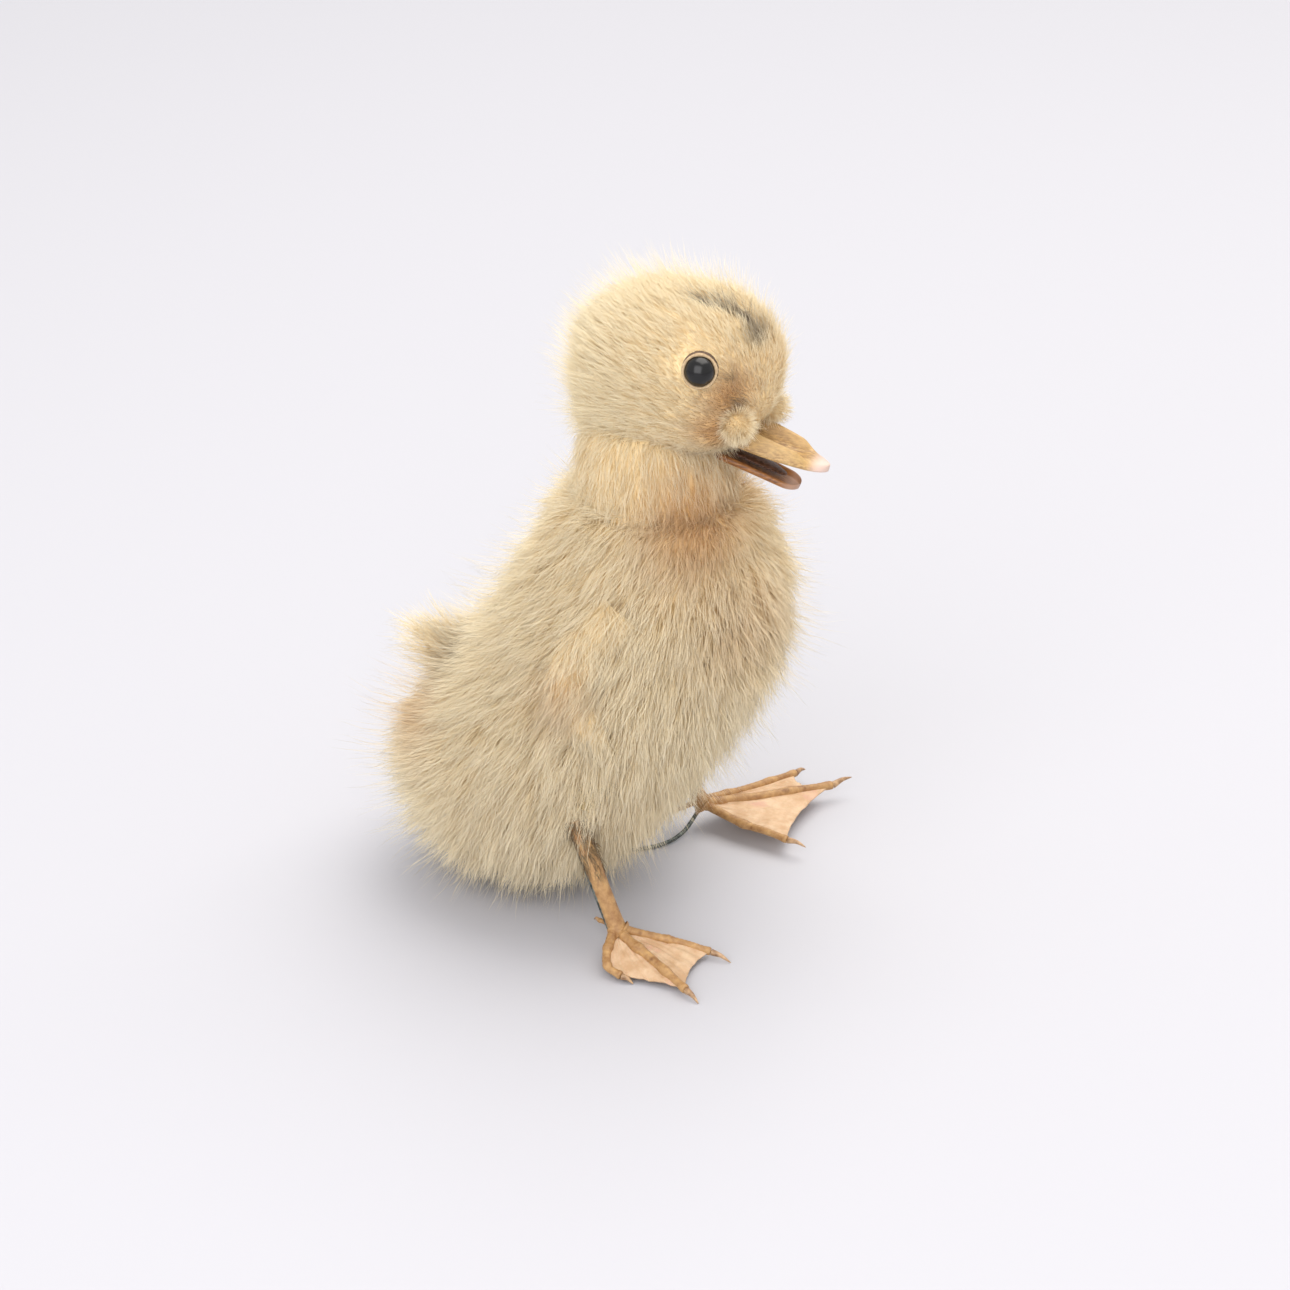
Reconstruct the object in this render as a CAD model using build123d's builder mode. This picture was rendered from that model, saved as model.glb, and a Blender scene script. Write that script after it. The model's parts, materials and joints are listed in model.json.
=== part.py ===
"""A small natural-history mount of a duckling, built the way a preparator builds one.

Frame: +Z up, the duckling faces +X and its left side is +Y. The origin is on the
floor, under the middle of the object's box. All sizes are in millimetres.
"""
from math import cos, radians, sin, tan
import os

from build123d import *

os.makedirs("parts", exist_ok=True)

# ---------------------------------------------------------------- driving dimensions
MID_ANKLE = Vector(10.5, -5.43, 0)   # the floor point midway between the two ankles
GAP = 0.3                           # air between faces that move past each other
FIT = 0.1                           # air between two pieces of one body

WIRE_R = 0.4                        # annealed galvanised wire, 0.8 mm
NECK_X = -1.0                       # the neck's axis, forward of the ankles
NECK_BASE_Z = 76.0                  # the flat seam on which the neck turns
NOD_Z = 80.0                        # the height of the bend on which the head nods
NECK_R = 14.3                       # the neck with its down

HEAD = (3.6, 0, 106.2)              # centre of the head
HEAD_LENGTH_R = 19.8
HEAD_ROUND_R = 16.2
SKULL = (3.3, 0, 107.2)
SKULL_LENGTH_R = 14.4
SKULL_ROUND_R = 11.8
SKULL_WALL = 1.2

EYE_R = 2.75
EYE = (11.2, 13.1, 112.0)           # centre of the left eye; the right one mirrors it

HOCK = (-9.4, 20.8, 24.0)           # centre of the left hock; the right one mirrors it
ANKLE = (0, 24.7, 5.2)
KNUCKLE_R = 1.9
WIRE_BEND = (-0.9, 22.9, 2.9)       # where the left wire turns away under the sole
KNUCKLE_SWELL = 1.12                # a knuckle's radius against the limb's
POCKET_ANGLE = 17.0                 # half angle of the opening in the down round each shank
POCKET_REACH = 30.0                 # how far down the opening is cut

# Height, centre forward of the ankles, half length and half width of the body's outside.
BODY_SECTIONS = [
    (4.0, -23.0, 15.0, 15.0),
    (9.0, -22.5, 22.5, 20.5),
    (18.0, -21.0, 28.5, 24.5),
    (28.0, -19.0, 31.5, 26.5),
    (40.0, -13.5, 31.0, 27.0),
    (52.0, -7.5, 29.5, 26.5),
    (62.0, -3.5, 28.0, 25.0),
    (70.0, -1.0, 25.5, 22.5),
    (76.0, 0.3, 21.0, 19.0),
]
# The same for the wound body inside the skin.
FORM_SECTIONS = [
    (13.0, -21.0, 9.0, 8.0),
    (20.0, -20.0, 18.0, 13.0),
    (30.0, -18.0, 22.5, 16.0),
    (42.0, -12.0, 22.0, 17.5),
    (54.0, -6.5, 20.0, 17.5),
    (64.0, -3.0, 17.0, 15.0),
    (71.0, -1.5, 11.0, 10.0),
]

sides = {"left": 1, "right": -1}


# ---------------------------------------------------------------- small helpers
def at(x, y, z):
    """A point given from the floor midway between the ankles."""
    return MID_ANKLE + Vector(x, y, z)


def sided(point, side):
    """A point of the left side, mirrored for the right side."""
    return at(point[0], point[1] * side, point[2])


def along(start, end):
    """A plane at start whose normal points at end."""
    return Plane(origin=start, z_dir=(end - start).normalized())


def finish(piece, name):
    piece.part.label = name
    export_step(piece.part, f"parts/{name}.step")


def section_loft(sections, grow=0.0):
    """The smooth solid through a stack of level ellipses."""
    with BuildPart() as solid:
        for z, x, half_length, half_width in sections:
            with BuildSketch(Plane(origin=at(x, 0, z))):
                Ellipse(half_length + grow, half_width + grow)
        loft()
    return solid.part


def barrel(centre, length_r, round_r):
    """A round-ended barrel, longest fore and aft."""
    half_barrel = length_r - round_r
    with BuildPart() as solid:
        with Locations(Plane(origin=at(*centre), z_dir=(1, 0, 0))):
            Cylinder(round_r, 2 * half_barrel)
        with Locations(at(*centre) + Vector(half_barrel, 0, 0), at(*centre) - Vector(half_barrel, 0, 0)):
            Sphere(round_r)
    return solid.part


def ball(centre, radius):
    with BuildPart() as solid:
        with Locations(centre):
            Sphere(radius)
    return solid.part


def rod(points, radius):
    """A round rod through points, with a ball at each inner corner."""
    with BuildPart() as solid:
        for start, end in zip(points, points[1:]):
            with BuildSketch(along(start, end)):
                Circle(radius)
            extrude(amount=(end - start).length)
        for corner in points[1:-1]:
            with Locations(corner):
                Sphere(radius)
    return solid.part


def tapered(points, radii):
    """A chain of tapered lengths with a round knuckle at every point."""
    with BuildPart() as solid:
        for i in range(len(points) - 1):
            start, end = points[i], points[i + 1]
            with BuildSketch(along(start, end)):
                Circle(radii[i])
            with BuildSketch(along(start, end).offset((end - start).length)):
                Circle(radii[i + 1])
            loft()
        for point, radius in zip(points, radii):
            with Locations(point):
                Sphere(radius * KNUCKLE_SWELL)
    return solid.part


# ---------------------------------------------------------------- solids shared by several pieces
form_solid = section_loft(FORM_SECTIONS)
form_room = section_loft(FORM_SECTIONS, grow=FIT)
skull_room = barrel(SKULL, SKULL_LENGTH_R + FIT, SKULL_ROUND_R + FIT)
skull_outside = barrel(SKULL, SKULL_LENGTH_R, SKULL_ROUND_R)
skull_inside = barrel(SKULL, SKULL_LENGTH_R - SKULL_WALL, SKULL_ROUND_R - SKULL_WALL)
nod_centre = at(NECK_X, 0, NOD_Z)
neck_top_z = NOD_Z + NECK_R


# ---------------------------------------------------------------- torso, hidden pieces
TAIL_ROOT = at(-37.0, 0, 41.0)
TAIL_TIP = at(-51.5, 0, 45.0)
SHOULDER, ELBOW, WING_END = (-1.0, 21.0, 66.0), (-11.0, 24.5, 53.0), (-1.0, 26.5, 43.5)
WING_RADII = [4.0, 3.4, 1.5]
PIN_R, PIN_LENGTH = 0.35, 15.0
KNEE, WIRE_ANCHOR = (-4.5, 15.5, 36.0), (-12.0, 6.0, 44.0)
BONE_R = 0.75
WRAP_RADII = [2.4, 4.3, 3.4]        # the thigh's tow, from the hock up to the knee

with BuildPart() as neck_wire_root:
    with Locations(at(NECK_X, 0, 62.0)):
        Cylinder(WIRE_R, NECK_BASE_Z - 62.0, align=(Align.CENTER, Align.CENTER, Align.MIN))
finish(neck_wire_root, "neck_wire_root")

with BuildPart() as tail_wire:
    add(rod([at(-26.0, 0, 38.0), at(-34.5, 0, 40.2), TAIL_TIP + Vector(5, 0, -1.4)], WIRE_R))
finish(tail_wire, "tail_wire")

thigh_wires = {}
shin_bones = {}
thigh_wraps = {}
for side, sign in sides.items():
    hock = sided(HOCK, sign)
    knee = sided(KNEE, sign)
    anchor = sided(WIRE_ANCHOR, sign)
    shin_dir = (knee - hock).normalized()
    shin_low = hock + shin_dir * (KNUCKLE_R + 2 * GAP)
    shin_side = Vector(0, 0, 1).cross(shin_dir).normalized() * (WIRE_R + BONE_R + FIT)

    with BuildPart() as thigh_wire:
        add(rod([shin_low, knee, anchor], WIRE_R))
    finish(thigh_wire, f"{side}_thigh_wire")
    thigh_wires[side] = thigh_wire.part

    with BuildPart() as shin_bone:
        add(rod([shin_low + shin_side, knee + shin_side], BONE_R))
    finish(shin_bone, f"{side}_shin_bone")
    shin_bones[side] = shin_bone.part

    with BuildPart() as thigh_wrap:
        with BuildSketch(along(shin_low, knee).offset(0.3)):
            Circle(WRAP_RADII[0])
        with BuildSketch(along(shin_low, knee).offset((knee - shin_low).length * 0.6)):
            Circle(WRAP_RADII[1])
        with BuildSketch(along(shin_low, knee).offset((knee - shin_low).length - 0.3)):
            Circle(WRAP_RADII[2])
        loft()
        add(thigh_wire.part, mode=Mode.SUBTRACT)
        add(shin_bone.part, mode=Mode.SUBTRACT)
    finish(thigh_wrap, f"{side}_thigh_wrap")
    thigh_wraps[side] = thigh_wrap.part

with BuildPart() as body_form:
    add(form_solid)
    for hidden in [neck_wire_root.part, tail_wire.part, *thigh_wires.values(),
                   *shin_bones.values(), *thigh_wraps.values()]:
        add(hidden, mode=Mode.SUBTRACT)
finish(body_form, "body_form")

wing_pins = {}
wings = {}
for side, sign in sides.items():
    shoulder, elbow, wing_end = sided(SHOULDER, sign), sided(ELBOW, sign), sided(WING_END, sign)

    with BuildPart() as wing_pin:
        with Locations(Plane(origin=shoulder, z_dir=(0, -sign, 0))):
            Cylinder(PIN_R, PIN_LENGTH, align=(Align.CENTER, Align.CENTER, Align.MIN))
    wing_pins[side] = wing_pin.part

    with BuildPart() as wing:
        add(tapered([shoulder, elbow, wing_end], WING_RADII))
        add(wing_pin.part, mode=Mode.SUBTRACT)
    finish(wing, f"{side}_wing")
    wings[side] = wing.part

for side in sides:
    with BuildPart() as trimmed_pin:
        add(wing_pins[side])
        add(form_room, mode=Mode.SUBTRACT)
    finish(trimmed_pin, f"{side}_wing_pin")
    wing_pins[side] = trimmed_pin.part

with BuildPart() as tail_tuft:
    with BuildSketch(along(TAIL_ROOT, TAIL_TIP)):
        Ellipse(6.0, 6.5)
    with BuildSketch(along(TAIL_ROOT, TAIL_TIP).offset(9.0)):
        Ellipse(5.0, 6.0)
    with BuildSketch(along(TAIL_ROOT, TAIL_TIP).offset((TAIL_TIP - TAIL_ROOT).length)):
        Ellipse(2.4, 4.2)
    loft()
    add(tail_wire.part, mode=Mode.SUBTRACT)
finish(tail_tuft, "tail_tuft")

STITCH_COUNT, STITCH_STEP = 7, 2.6
with BuildPart() as belly_stitches:
    for i in range(STITCH_COUNT):
        rise = i * STITCH_STEP
        with Locations(Plane(origin=at(-0.6 + 0.62 * rise, 0, 17.0 + rise), z_dir=(0, 1, 0.35))):
            Cylinder(0.22, 3.0)
finish(belly_stitches, "belly_stitches")

# ---------------------------------------------------------------- torso, skin with its down
with BuildPart() as body_skin:
    add(section_loft(BODY_SECTIONS))
    add(form_room, mode=Mode.SUBTRACT)
    for side, sign in sides.items():
        hock = sided(HOCK, sign)
        down_shank = (sided(ANKLE, sign) - hock).normalized()
        mouth_r = KNUCKLE_R + GAP + POCKET_REACH * tan(radians(POCKET_ANGLE))
        with BuildSketch(along(hock, hock + down_shank)):
            Circle(KNUCKLE_R + GAP)
        with BuildSketch(along(hock, hock + down_shank).offset(POCKET_REACH)):
            Circle(mouth_r)
        loft(mode=Mode.SUBTRACT)
        add(ball(hock, KNUCKLE_R + GAP), mode=Mode.SUBTRACT)
    for buried in [neck_wire_root.part, tail_wire.part, tail_tuft.part, belly_stitches.part,
                   *thigh_wires.values(), *shin_bones.values(), *thigh_wraps.values(),
                   *wings.values(), *wing_pins.values()]:
        add(buried, mode=Mode.SUBTRACT)
finish(body_skin, "body_skin")

# ---------------------------------------------------------------- neck
neck_low_z = NECK_BASE_Z + GAP
WRAP_R = 6.5                        # the tow wound round the neck wire

with BuildPart() as neck_wire_middle:
    with Locations(at(NECK_X, 0, neck_low_z)):
        Cylinder(WIRE_R, neck_top_z - neck_low_z, align=(Align.CENTER, Align.CENTER, Align.MIN))
    add(ball(nod_centre, NECK_R), mode=Mode.INTERSECT)
finish(neck_wire_middle, "neck_wire_middle")

with BuildPart() as neck_wrap:
    with Locations(at(NECK_X, 0, neck_low_z)):
        Cylinder(WRAP_R, neck_top_z, align=(Align.CENTER, Align.CENTER, Align.MIN))
    add(ball(nod_centre, NECK_R - GAP), mode=Mode.INTERSECT)
    add(neck_wire_middle.part, mode=Mode.SUBTRACT)
finish(neck_wrap, "neck_wrap")

with BuildPart() as neck_skin:
    with Locations(at(NECK_X, 0, neck_low_z)):
        Cylinder(NECK_R, NOD_Z - neck_low_z, align=(Align.CENTER, Align.CENTER, Align.MIN))
    add(ball(nod_centre, NECK_R))
    with Locations(at(NECK_X, 0, neck_low_z)):
        Cylinder(3 * NECK_R, 3 * NECK_R, align=(Align.CENTER, Align.CENTER, Align.MIN),
                 mode=Mode.INTERSECT)
        Cylinder(WRAP_R + FIT, 3 * NECK_R, align=(Align.CENTER, Align.CENTER, Align.MIN),
                 mode=Mode.SUBTRACT)
finish(neck_skin, "neck_skin")

# ---------------------------------------------------------------- head, hidden pieces
wire_tip_length = 12.0
with BuildPart() as neck_wire_tip:
    with Locations(at(NECK_X, 0, neck_top_z + GAP)):
        Cylinder(WIRE_R, wire_tip_length, align=(Align.CENTER, Align.CENTER, Align.MIN))
finish(neck_wire_tip, "neck_wire_tip")

with BuildPart() as skull:
    add(skull_outside)
    add(skull_inside, mode=Mode.SUBTRACT)
    with Locations(at(NECK_X, 0, SKULL[2] - SKULL_ROUND_R)):
        Cylinder(1.6, 6.0, mode=Mode.SUBTRACT)
finish(skull, "skull")

with BuildPart() as skull_fill:
    add(barrel(SKULL, SKULL_LENGTH_R - SKULL_WALL - FIT, SKULL_ROUND_R - SKULL_WALL - FIT))
    add(neck_wire_tip.part, mode=Mode.SUBTRACT)
finish(skull_fill, "skull_fill")

# ---------------------------------------------------------------- eyes
eyes, eye_beds, eyelids, eye_planes = {}, {}, {}, {}
LID_R, LID_ROLL_R = 3.2, 0.45
BED_DEPTH, BED_R = 1.6, 3.3         # the clay the eye is pressed into
for side, sign in sides.items():
    centre = sided(EYE, sign)
    outward = Vector(0.30, sign, 0.28).normalized()
    eye_planes[side] = Plane(origin=centre, z_dir=outward)

    with BuildPart() as eye:
        with Locations(centre):
            Sphere(EYE_R)
    finish(eye, f"{side}_eye")
    eyes[side] = eye.part

    with BuildPart() as eye_bed:
        add(ball(centre - outward * BED_DEPTH, BED_R))
        add(ball(centre, EYE_R + FIT), mode=Mode.SUBTRACT)
        add(skull_room, mode=Mode.SUBTRACT)
        with Locations(eye_planes[side].offset(-0.2)):
            Cylinder(6.0, 6.0, align=(Align.CENTER, Align.CENTER, Align.MIN), mode=Mode.SUBTRACT)
    finish(eye_bed, f"{side}_eye_bed")
    eye_beds[side] = eye_bed.part

    with BuildPart() as eyelid:
        with Locations(eye_planes[side].offset(0.9)):
            Torus(LID_R, LID_ROLL_R)
    finish(eyelid, f"{side}_eyelid")
    eyelids[side] = eyelid.part

# ---------------------------------------------------------------- bill
def bill_plane(root, slope, run):
    """The cross-section plane of a bill half, run millimetres from its root."""
    forward = Vector(cos(radians(slope)), 0, -sin(radians(slope)))
    return Plane(origin=root + forward * run, x_dir=(0, 1, 0), z_dir=forward)


def bill_loft(root, slope, sections):
    """A bill half through rounded sections of (run, width, height)."""
    with BuildPart() as solid:
        for run, width, height in sections:
            with BuildSketch(bill_plane(root, slope, run)):
                RectangleRounded(width, height, height * 0.42)
        loft()
    return solid.part


UPPER_ROOT, UPPER_SLOPE = at(12.2, 0, 95.6), 14.0
LOWER_ROOT, LOWER_SLOPE = at(10.6, 0, 92.4), 20.0

with BuildPart() as upper_bill:
    add(bill_loft(UPPER_ROOT, UPPER_SLOPE,
                  [(0, 8.6, 3.4), (9.0, 8.8, 3.2), (14.0, 8.4, 2.2), (17.0, 6.4, 1.5)]))
finish(upper_bill, "upper_bill")

with BuildPart() as bill_nail:
    add(bill_loft(UPPER_ROOT, UPPER_SLOPE, [(17.0 + FIT, 3.8, 1.5), (19.4, 2.4, 1.1)]))
finish(bill_nail, "bill_nail")

with BuildPart() as lower_bill:
    add(bill_loft(LOWER_ROOT, LOWER_SLOPE,
                  [(0, 7.6, 2.0), (8.0, 7.8, 1.9), (13.0, 6.8, 1.6), (16.0, 3.6, 1.2)]))
finish(lower_bill, "lower_bill")

with BuildPart() as tongue:
    add(bill_loft(LOWER_ROOT + Vector(0.7, 0, 1.55), LOWER_SLOPE,
                  [(3.5, 4.4, 0.8), (9.0, 4.2, 0.9), (13.0, 2.6, 0.7)]))
    add(lower_bill.part, mode=Mode.SUBTRACT)
    add(upper_bill.part, mode=Mode.SUBTRACT)
finish(tongue, "tongue")

# ---------------------------------------------------------------- head, skin with its down
collar_z = 85.5
THROAT_MIDDLE = at(10.5, 0, 90.5)
THROAT_SIZE = (10.0, 22.0, 7.0)
with BuildPart() as head_outside:
    add(barrel(HEAD, HEAD_LENGTH_R, HEAD_ROUND_R))
    with BuildSketch(Plane(origin=at(NECK_X, 0, collar_z))):
        Circle(NECK_R + 0.9)
    with BuildSketch(Plane(origin=at(NECK_X + 1.5, 0, collar_z + 12.0))):
        Circle(NECK_R + 1.2)
    loft()
    add(ball(nod_centre, NECK_R + GAP), mode=Mode.SUBTRACT)
    with Locations(at(NECK_X, 0, collar_z)):
        Cylinder(4 * NECK_R, 30.0, align=(Align.CENTER, Align.CENTER, Align.MAX), mode=Mode.SUBTRACT)

with BuildPart() as throat_patch:
    add(head_outside.part)
    with Locations(THROAT_MIDDLE):
        Box(*THROAT_SIZE, mode=Mode.INTERSECT)
    add(lower_bill.part, mode=Mode.SUBTRACT)
    add(tongue.part, mode=Mode.SUBTRACT)
    add(upper_bill.part, mode=Mode.SUBTRACT)
finish(throat_patch, "throat_patch")

with BuildPart() as head_skin:
    add(head_outside.part)
    add(skull_room, mode=Mode.SUBTRACT)
    with Locations(at(NECK_X, 0, neck_top_z)):
        Cylinder(1.6, 6.0, mode=Mode.SUBTRACT)
    with Locations(THROAT_MIDDLE):
        Box(*THROAT_SIZE, mode=Mode.SUBTRACT)
    with Locations(at(20.0, 0, 92.2)):
        Box(20.0, 9.4, 11.8, mode=Mode.SUBTRACT)
    for side in sides:
        socket = eye_planes[side]
        add(ball(socket.origin - socket.z_dir * BED_DEPTH, BED_R + FIT), mode=Mode.SUBTRACT)
        with BuildSketch(socket.offset(-1.0)):
            Circle(LID_R + 0.65)
        with BuildSketch(socket.offset(9.0)):
            Circle(LID_R + 5.0)
        loft(mode=Mode.SUBTRACT)
finish(head_skin, "head_skin")

# ---------------------------------------------------------------- legs and feet
# Toe routes from the ankle to the root of the claw, and each claw's tip.
TOES = {
    "right": {
        "inner": ([(2.4, -24.1, 4.6), (8.5, -22.3, 3.0), (16.8, -21.4, 1.5)], (20.8, -21.8, 0.2)),
        "middle": ([(1.9, -26.3, 4.5), (7.2, -29.0, 3.2), (12.6, -32.4, 2.2), (16.6, -35.0, 1.4)],
                   (19.6, -36.9, 0.2)),
        "outer": ([(-0.3, -27.2, 4.4), (0.2, -31.6, 3.2), (1.8, -35.8, 2.2), (4.4, -37.2, 1.4)],
                  (7.0, -37.6, 0.2)),
        "hind": ([(-2.2, -23.2, 4.8), (-4.6, -21.6, 4.1)], (-5.9, -20.9, 3.7)),
    },
    "left": {
        "inner": ([(2.3, 23.9, 4.6), (9.0, 21.6, 3.8), (18.8, 19.4, 3.2)], (22.7, 18.8, 2.6)),
        "middle": ([(2.0, 26.2, 4.7), (8.4, 31.5, 4.2), (15.4, 37.6, 3.8), (20.9, 42.4, 3.4)],
                   (24.0, 45.4, 4.2)),
        "outer": ([(0.3, 27.3, 4.6), (4.8, 33.2, 4.0), (9.4, 40.4, 3.4), (12.4, 45.6, 2.9)],
                  (13.6, 48.6, 2.4)),
        "hind": ([(-2.2, 23.2, 4.8), (-4.6, 21.6, 4.1)], (-5.9, 20.9, 3.7)),
    },
}
TOE_RADII = {"inner": 0.9, "middle": 0.95, "outer": 0.9, "hind": 0.6}
TOE_TAPER = 0.32                    # share of a toe's radius lost by the root of its claw
CLAW_ROOT_SHARE = 0.6               # a claw's root against its toe's radius
CLAW_TIP_R = 0.16
CLAW_GAP = 0.03
FOOT_ROOT_R = 2.1
WEB_THICKNESS = 0.45
SHANK_RADII = [1.7, 1.15, 1.3]      # at the hock, below it and at the ankle
SHANK_NARROW_DROP = 6.0             # from the hock down to the narrowest place
GROOVE_DEPTH_FROM_AXIS = 1.35       # the wire lies in a groove along the back of the shank
WIRE_START_DROP = 1.2
HEEL_DROP = 1.6                     # how far below the ankle the wire leaves its groove
BEND_GAP = 0.15


def web_panel(root, tip_a, tip_b, bay=0.16):
    """A thin flat membrane between two toes; its front margin is drawn in by bay times its width."""
    edge_a, edge_b = tip_a - root, tip_b - root
    sheet = Plane(origin=root, x_dir=edge_a, z_dir=edge_a.cross(edge_b))
    corner_a = sheet.to_local_coords(tip_a)
    corner_b = sheet.to_local_coords(tip_b)
    half_way = (corner_a + corner_b) * 0.5
    middle = half_way - half_way.normalized() * bay * (corner_a - corner_b).length
    with BuildPart() as solid:
        with BuildSketch(sheet.offset(-WEB_THICKNESS / 2)):
            with BuildLine():
                Line((0, 0), (corner_a.X, corner_a.Y))
                ThreePointArc((corner_a.X, corner_a.Y), (middle.X, middle.Y),
                              (corner_b.X, corner_b.Y))
                Line((corner_b.X, corner_b.Y), (0, 0))
            make_face()
        extrude(amount=WEB_THICKNESS)
    return solid.part


for side, sign in sides.items():
    hock = sided(HOCK, sign)
    ankle = sided(ANKLE, sign)
    down_shank = (ankle - hock).normalized()
    rearward = Vector(down_shank.Z, 0, -down_shank.X).normalized()
    wire_offset = rearward * (GROOVE_DEPTH_FROM_AXIS + WIRE_R)
    heel_low = ankle + down_shank * HEEL_DROP + wire_offset

    with BuildPart() as leg_wire:
        add(rod([hock + wire_offset + down_shank * WIRE_START_DROP, heel_low], WIRE_R))
        if side == "left":
            to_bend = (at(*WIRE_BEND) - heel_low).normalized()
            add(rod([heel_low, at(*WIRE_BEND) - to_bend * (WIRE_R + BEND_GAP)], WIRE_R))
            with Locations(heel_low):
                Sphere(WIRE_R)
    finish(leg_wire, f"{side}_leg_wire")

    with BuildPart() as shank:
        add(tapered([hock, hock + down_shank * SHANK_NARROW_DROP, ankle], SHANK_RADII))
        add(ball(ankle, FOOT_ROOT_R))
        add(leg_wire.part, mode=Mode.SUBTRACT)
    finish(shank, f"{side}_shank")

    toe_parts = []
    claw_solids = []
    for toe, (route, claw_tip) in TOES[side].items():
        points = [at(*point) for point in route]
        tip = at(*claw_tip)
        stations = points + [tip]

        with BuildPart() as toe_piece:
            for i, point in enumerate(points):
                behind = stations[max(i - 1, 0)] if i < len(points) - 1 else point
                heading = (stations[i + 1] - behind).normalized()
                with BuildSketch(Plane(origin=point, z_dir=heading)):
                    Circle(TOE_RADII[toe] * (1 - TOE_TAPER * i / (len(points) - 1)))
            loft()
        finish(toe_piece, f"{side}_{toe}_toe")
        toe_parts.append(toe_piece.part)

        with BuildPart() as claw:
            with BuildSketch(along(points[-1], tip).offset(CLAW_GAP)):
                Circle(TOE_RADII[toe] * CLAW_ROOT_SHARE)
            with BuildSketch(along(points[-1], tip).offset((tip - points[-1]).length)):
                Circle(CLAW_TIP_R)
            loft()
        claw_solids.append(claw.part)

    with BuildPart() as claws:
        for claw_solid in claw_solids:
            add(claw_solid)
    finish(claws, f"{side}_claws")

    joints = {toe: [at(*p) for p in TOES[side][toe][0]] for toe in ("inner", "middle", "outer")}
    web_root = joints["middle"][0]
    membranes = []
    for inner_toe, outer_toe in (("inner", "middle"), ("middle", "outer")):
        with BuildPart() as membrane:
            add(web_panel(web_root, joints[inner_toe][-1], joints[outer_toe][-1]))
            for neighbour in [shank.part, leg_wire.part, *toe_parts, *claw_solids]:
                add(neighbour, mode=Mode.SUBTRACT)
        membranes.append(membrane.part.solids().sort_by(SortBy.VOLUME)[-1])

    with BuildPart() as web:
        for membrane_solid in membranes:
            add(membrane_solid)
    finish(web, f"{side}_web")

# ---------------------------------------------------------------- the wire's free end
TAIL_ROUTE = [WIRE_BEND, (-1.7, 19.8, 1.3), (-3.3, 16.2, 0.55), (-6.2, 12.8, 0.42),
              (-11.5, 9.4, 0.42), (-19.5, 6.0, 0.42), (-30.0, 2.5, 0.42)]
BEND_SHARE = 0.45                   # share of each straight run that its bend takes up
tail_points = [at(*point) for point in TAIL_ROUTE]
tail_radii = []
for before, corner, after in zip(tail_points, tail_points[1:], tail_points[2:]):
    run = min((corner - before).length, (after - corner).length)
    turn = (corner - before).get_angle(after - corner)
    tail_radii.append(BEND_SHARE * run / tan(radians(turn / 2)))
print("wire tail radii:", [round(radius, 1) for radius in tail_radii])

with BuildPart() as left_wire_tail:
    with BuildLine() as tail_path:
        FilletPolyline(*tail_points, radius=tail_radii)
    with BuildSketch(Plane(origin=tail_path.line @ 0, z_dir=tail_path.line % 0)):
        Circle(WIRE_R)
    sweep()
    with Locations(tail_points[0]):
        Sphere(WIRE_R)
print("wire tail length:", round(tail_path.wires()[0].length, 1))
finish(left_wire_tail, "left_wire_tail")
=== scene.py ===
# %% [markdown]
# # A mounted duckling
# The frame holds the wire, the body form, the skull and every joint. This script gives the mount
# its looks: down, dried bill, scaled feet and a glass eye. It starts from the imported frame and
# measures everything from it.

# %% Load the frame
import json
import math

import bmesh
import bpy
import numpy as np
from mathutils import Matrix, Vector


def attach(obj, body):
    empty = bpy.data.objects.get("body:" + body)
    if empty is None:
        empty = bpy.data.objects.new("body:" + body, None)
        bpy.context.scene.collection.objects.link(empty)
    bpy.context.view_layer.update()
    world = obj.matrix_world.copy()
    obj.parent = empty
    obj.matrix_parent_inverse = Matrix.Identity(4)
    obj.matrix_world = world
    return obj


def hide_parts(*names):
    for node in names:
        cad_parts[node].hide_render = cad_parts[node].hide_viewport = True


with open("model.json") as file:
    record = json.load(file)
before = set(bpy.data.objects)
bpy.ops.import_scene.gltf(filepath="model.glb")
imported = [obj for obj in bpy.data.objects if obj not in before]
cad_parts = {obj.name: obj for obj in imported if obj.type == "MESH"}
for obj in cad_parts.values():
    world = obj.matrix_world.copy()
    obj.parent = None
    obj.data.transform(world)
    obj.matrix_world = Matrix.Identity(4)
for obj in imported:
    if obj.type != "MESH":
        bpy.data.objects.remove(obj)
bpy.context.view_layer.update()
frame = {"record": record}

MM = 0.001

# %% [markdown]
# ## One origin for every measure
# The bird is measured from the floor point midway between its ankles, in millimetres. The neck's
# joint is a known place on the frame, so that point is found from it.

# %% Measures from the floor between the ankles
joint_at = {joint["name"]: np.array(joint["pos_m"]) for joint in frame["record"]["behaviour"]["joints"]}
NECK_X, NECK_SEAM_Z = -1.0, 76.0
floor_point = joint_at["neck_turn"] - np.array((NECK_X, 0, NECK_SEAM_Z)) * MM


def at(points):
    """Millimetres from the floor between the ankles, turned to metres in the frame."""
    return np.asarray(points, float) * MM + floor_point


def unit(vectors):
    """Vectors of length one."""
    vectors = np.asarray(vectors, float)
    return vectors / np.maximum(np.linalg.norm(vectors, axis=-1, keepdims=True), 1e-12)


print("floor point, mm:", np.round(floor_point / MM, 2))

# %% [markdown]
# ## Small tools
# A tube through rings of points makes every solid that follows a line, such as toes, bill and
# wire. One function adds a node to any tree, for materials and for Geometry Nodes alike.

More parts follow.
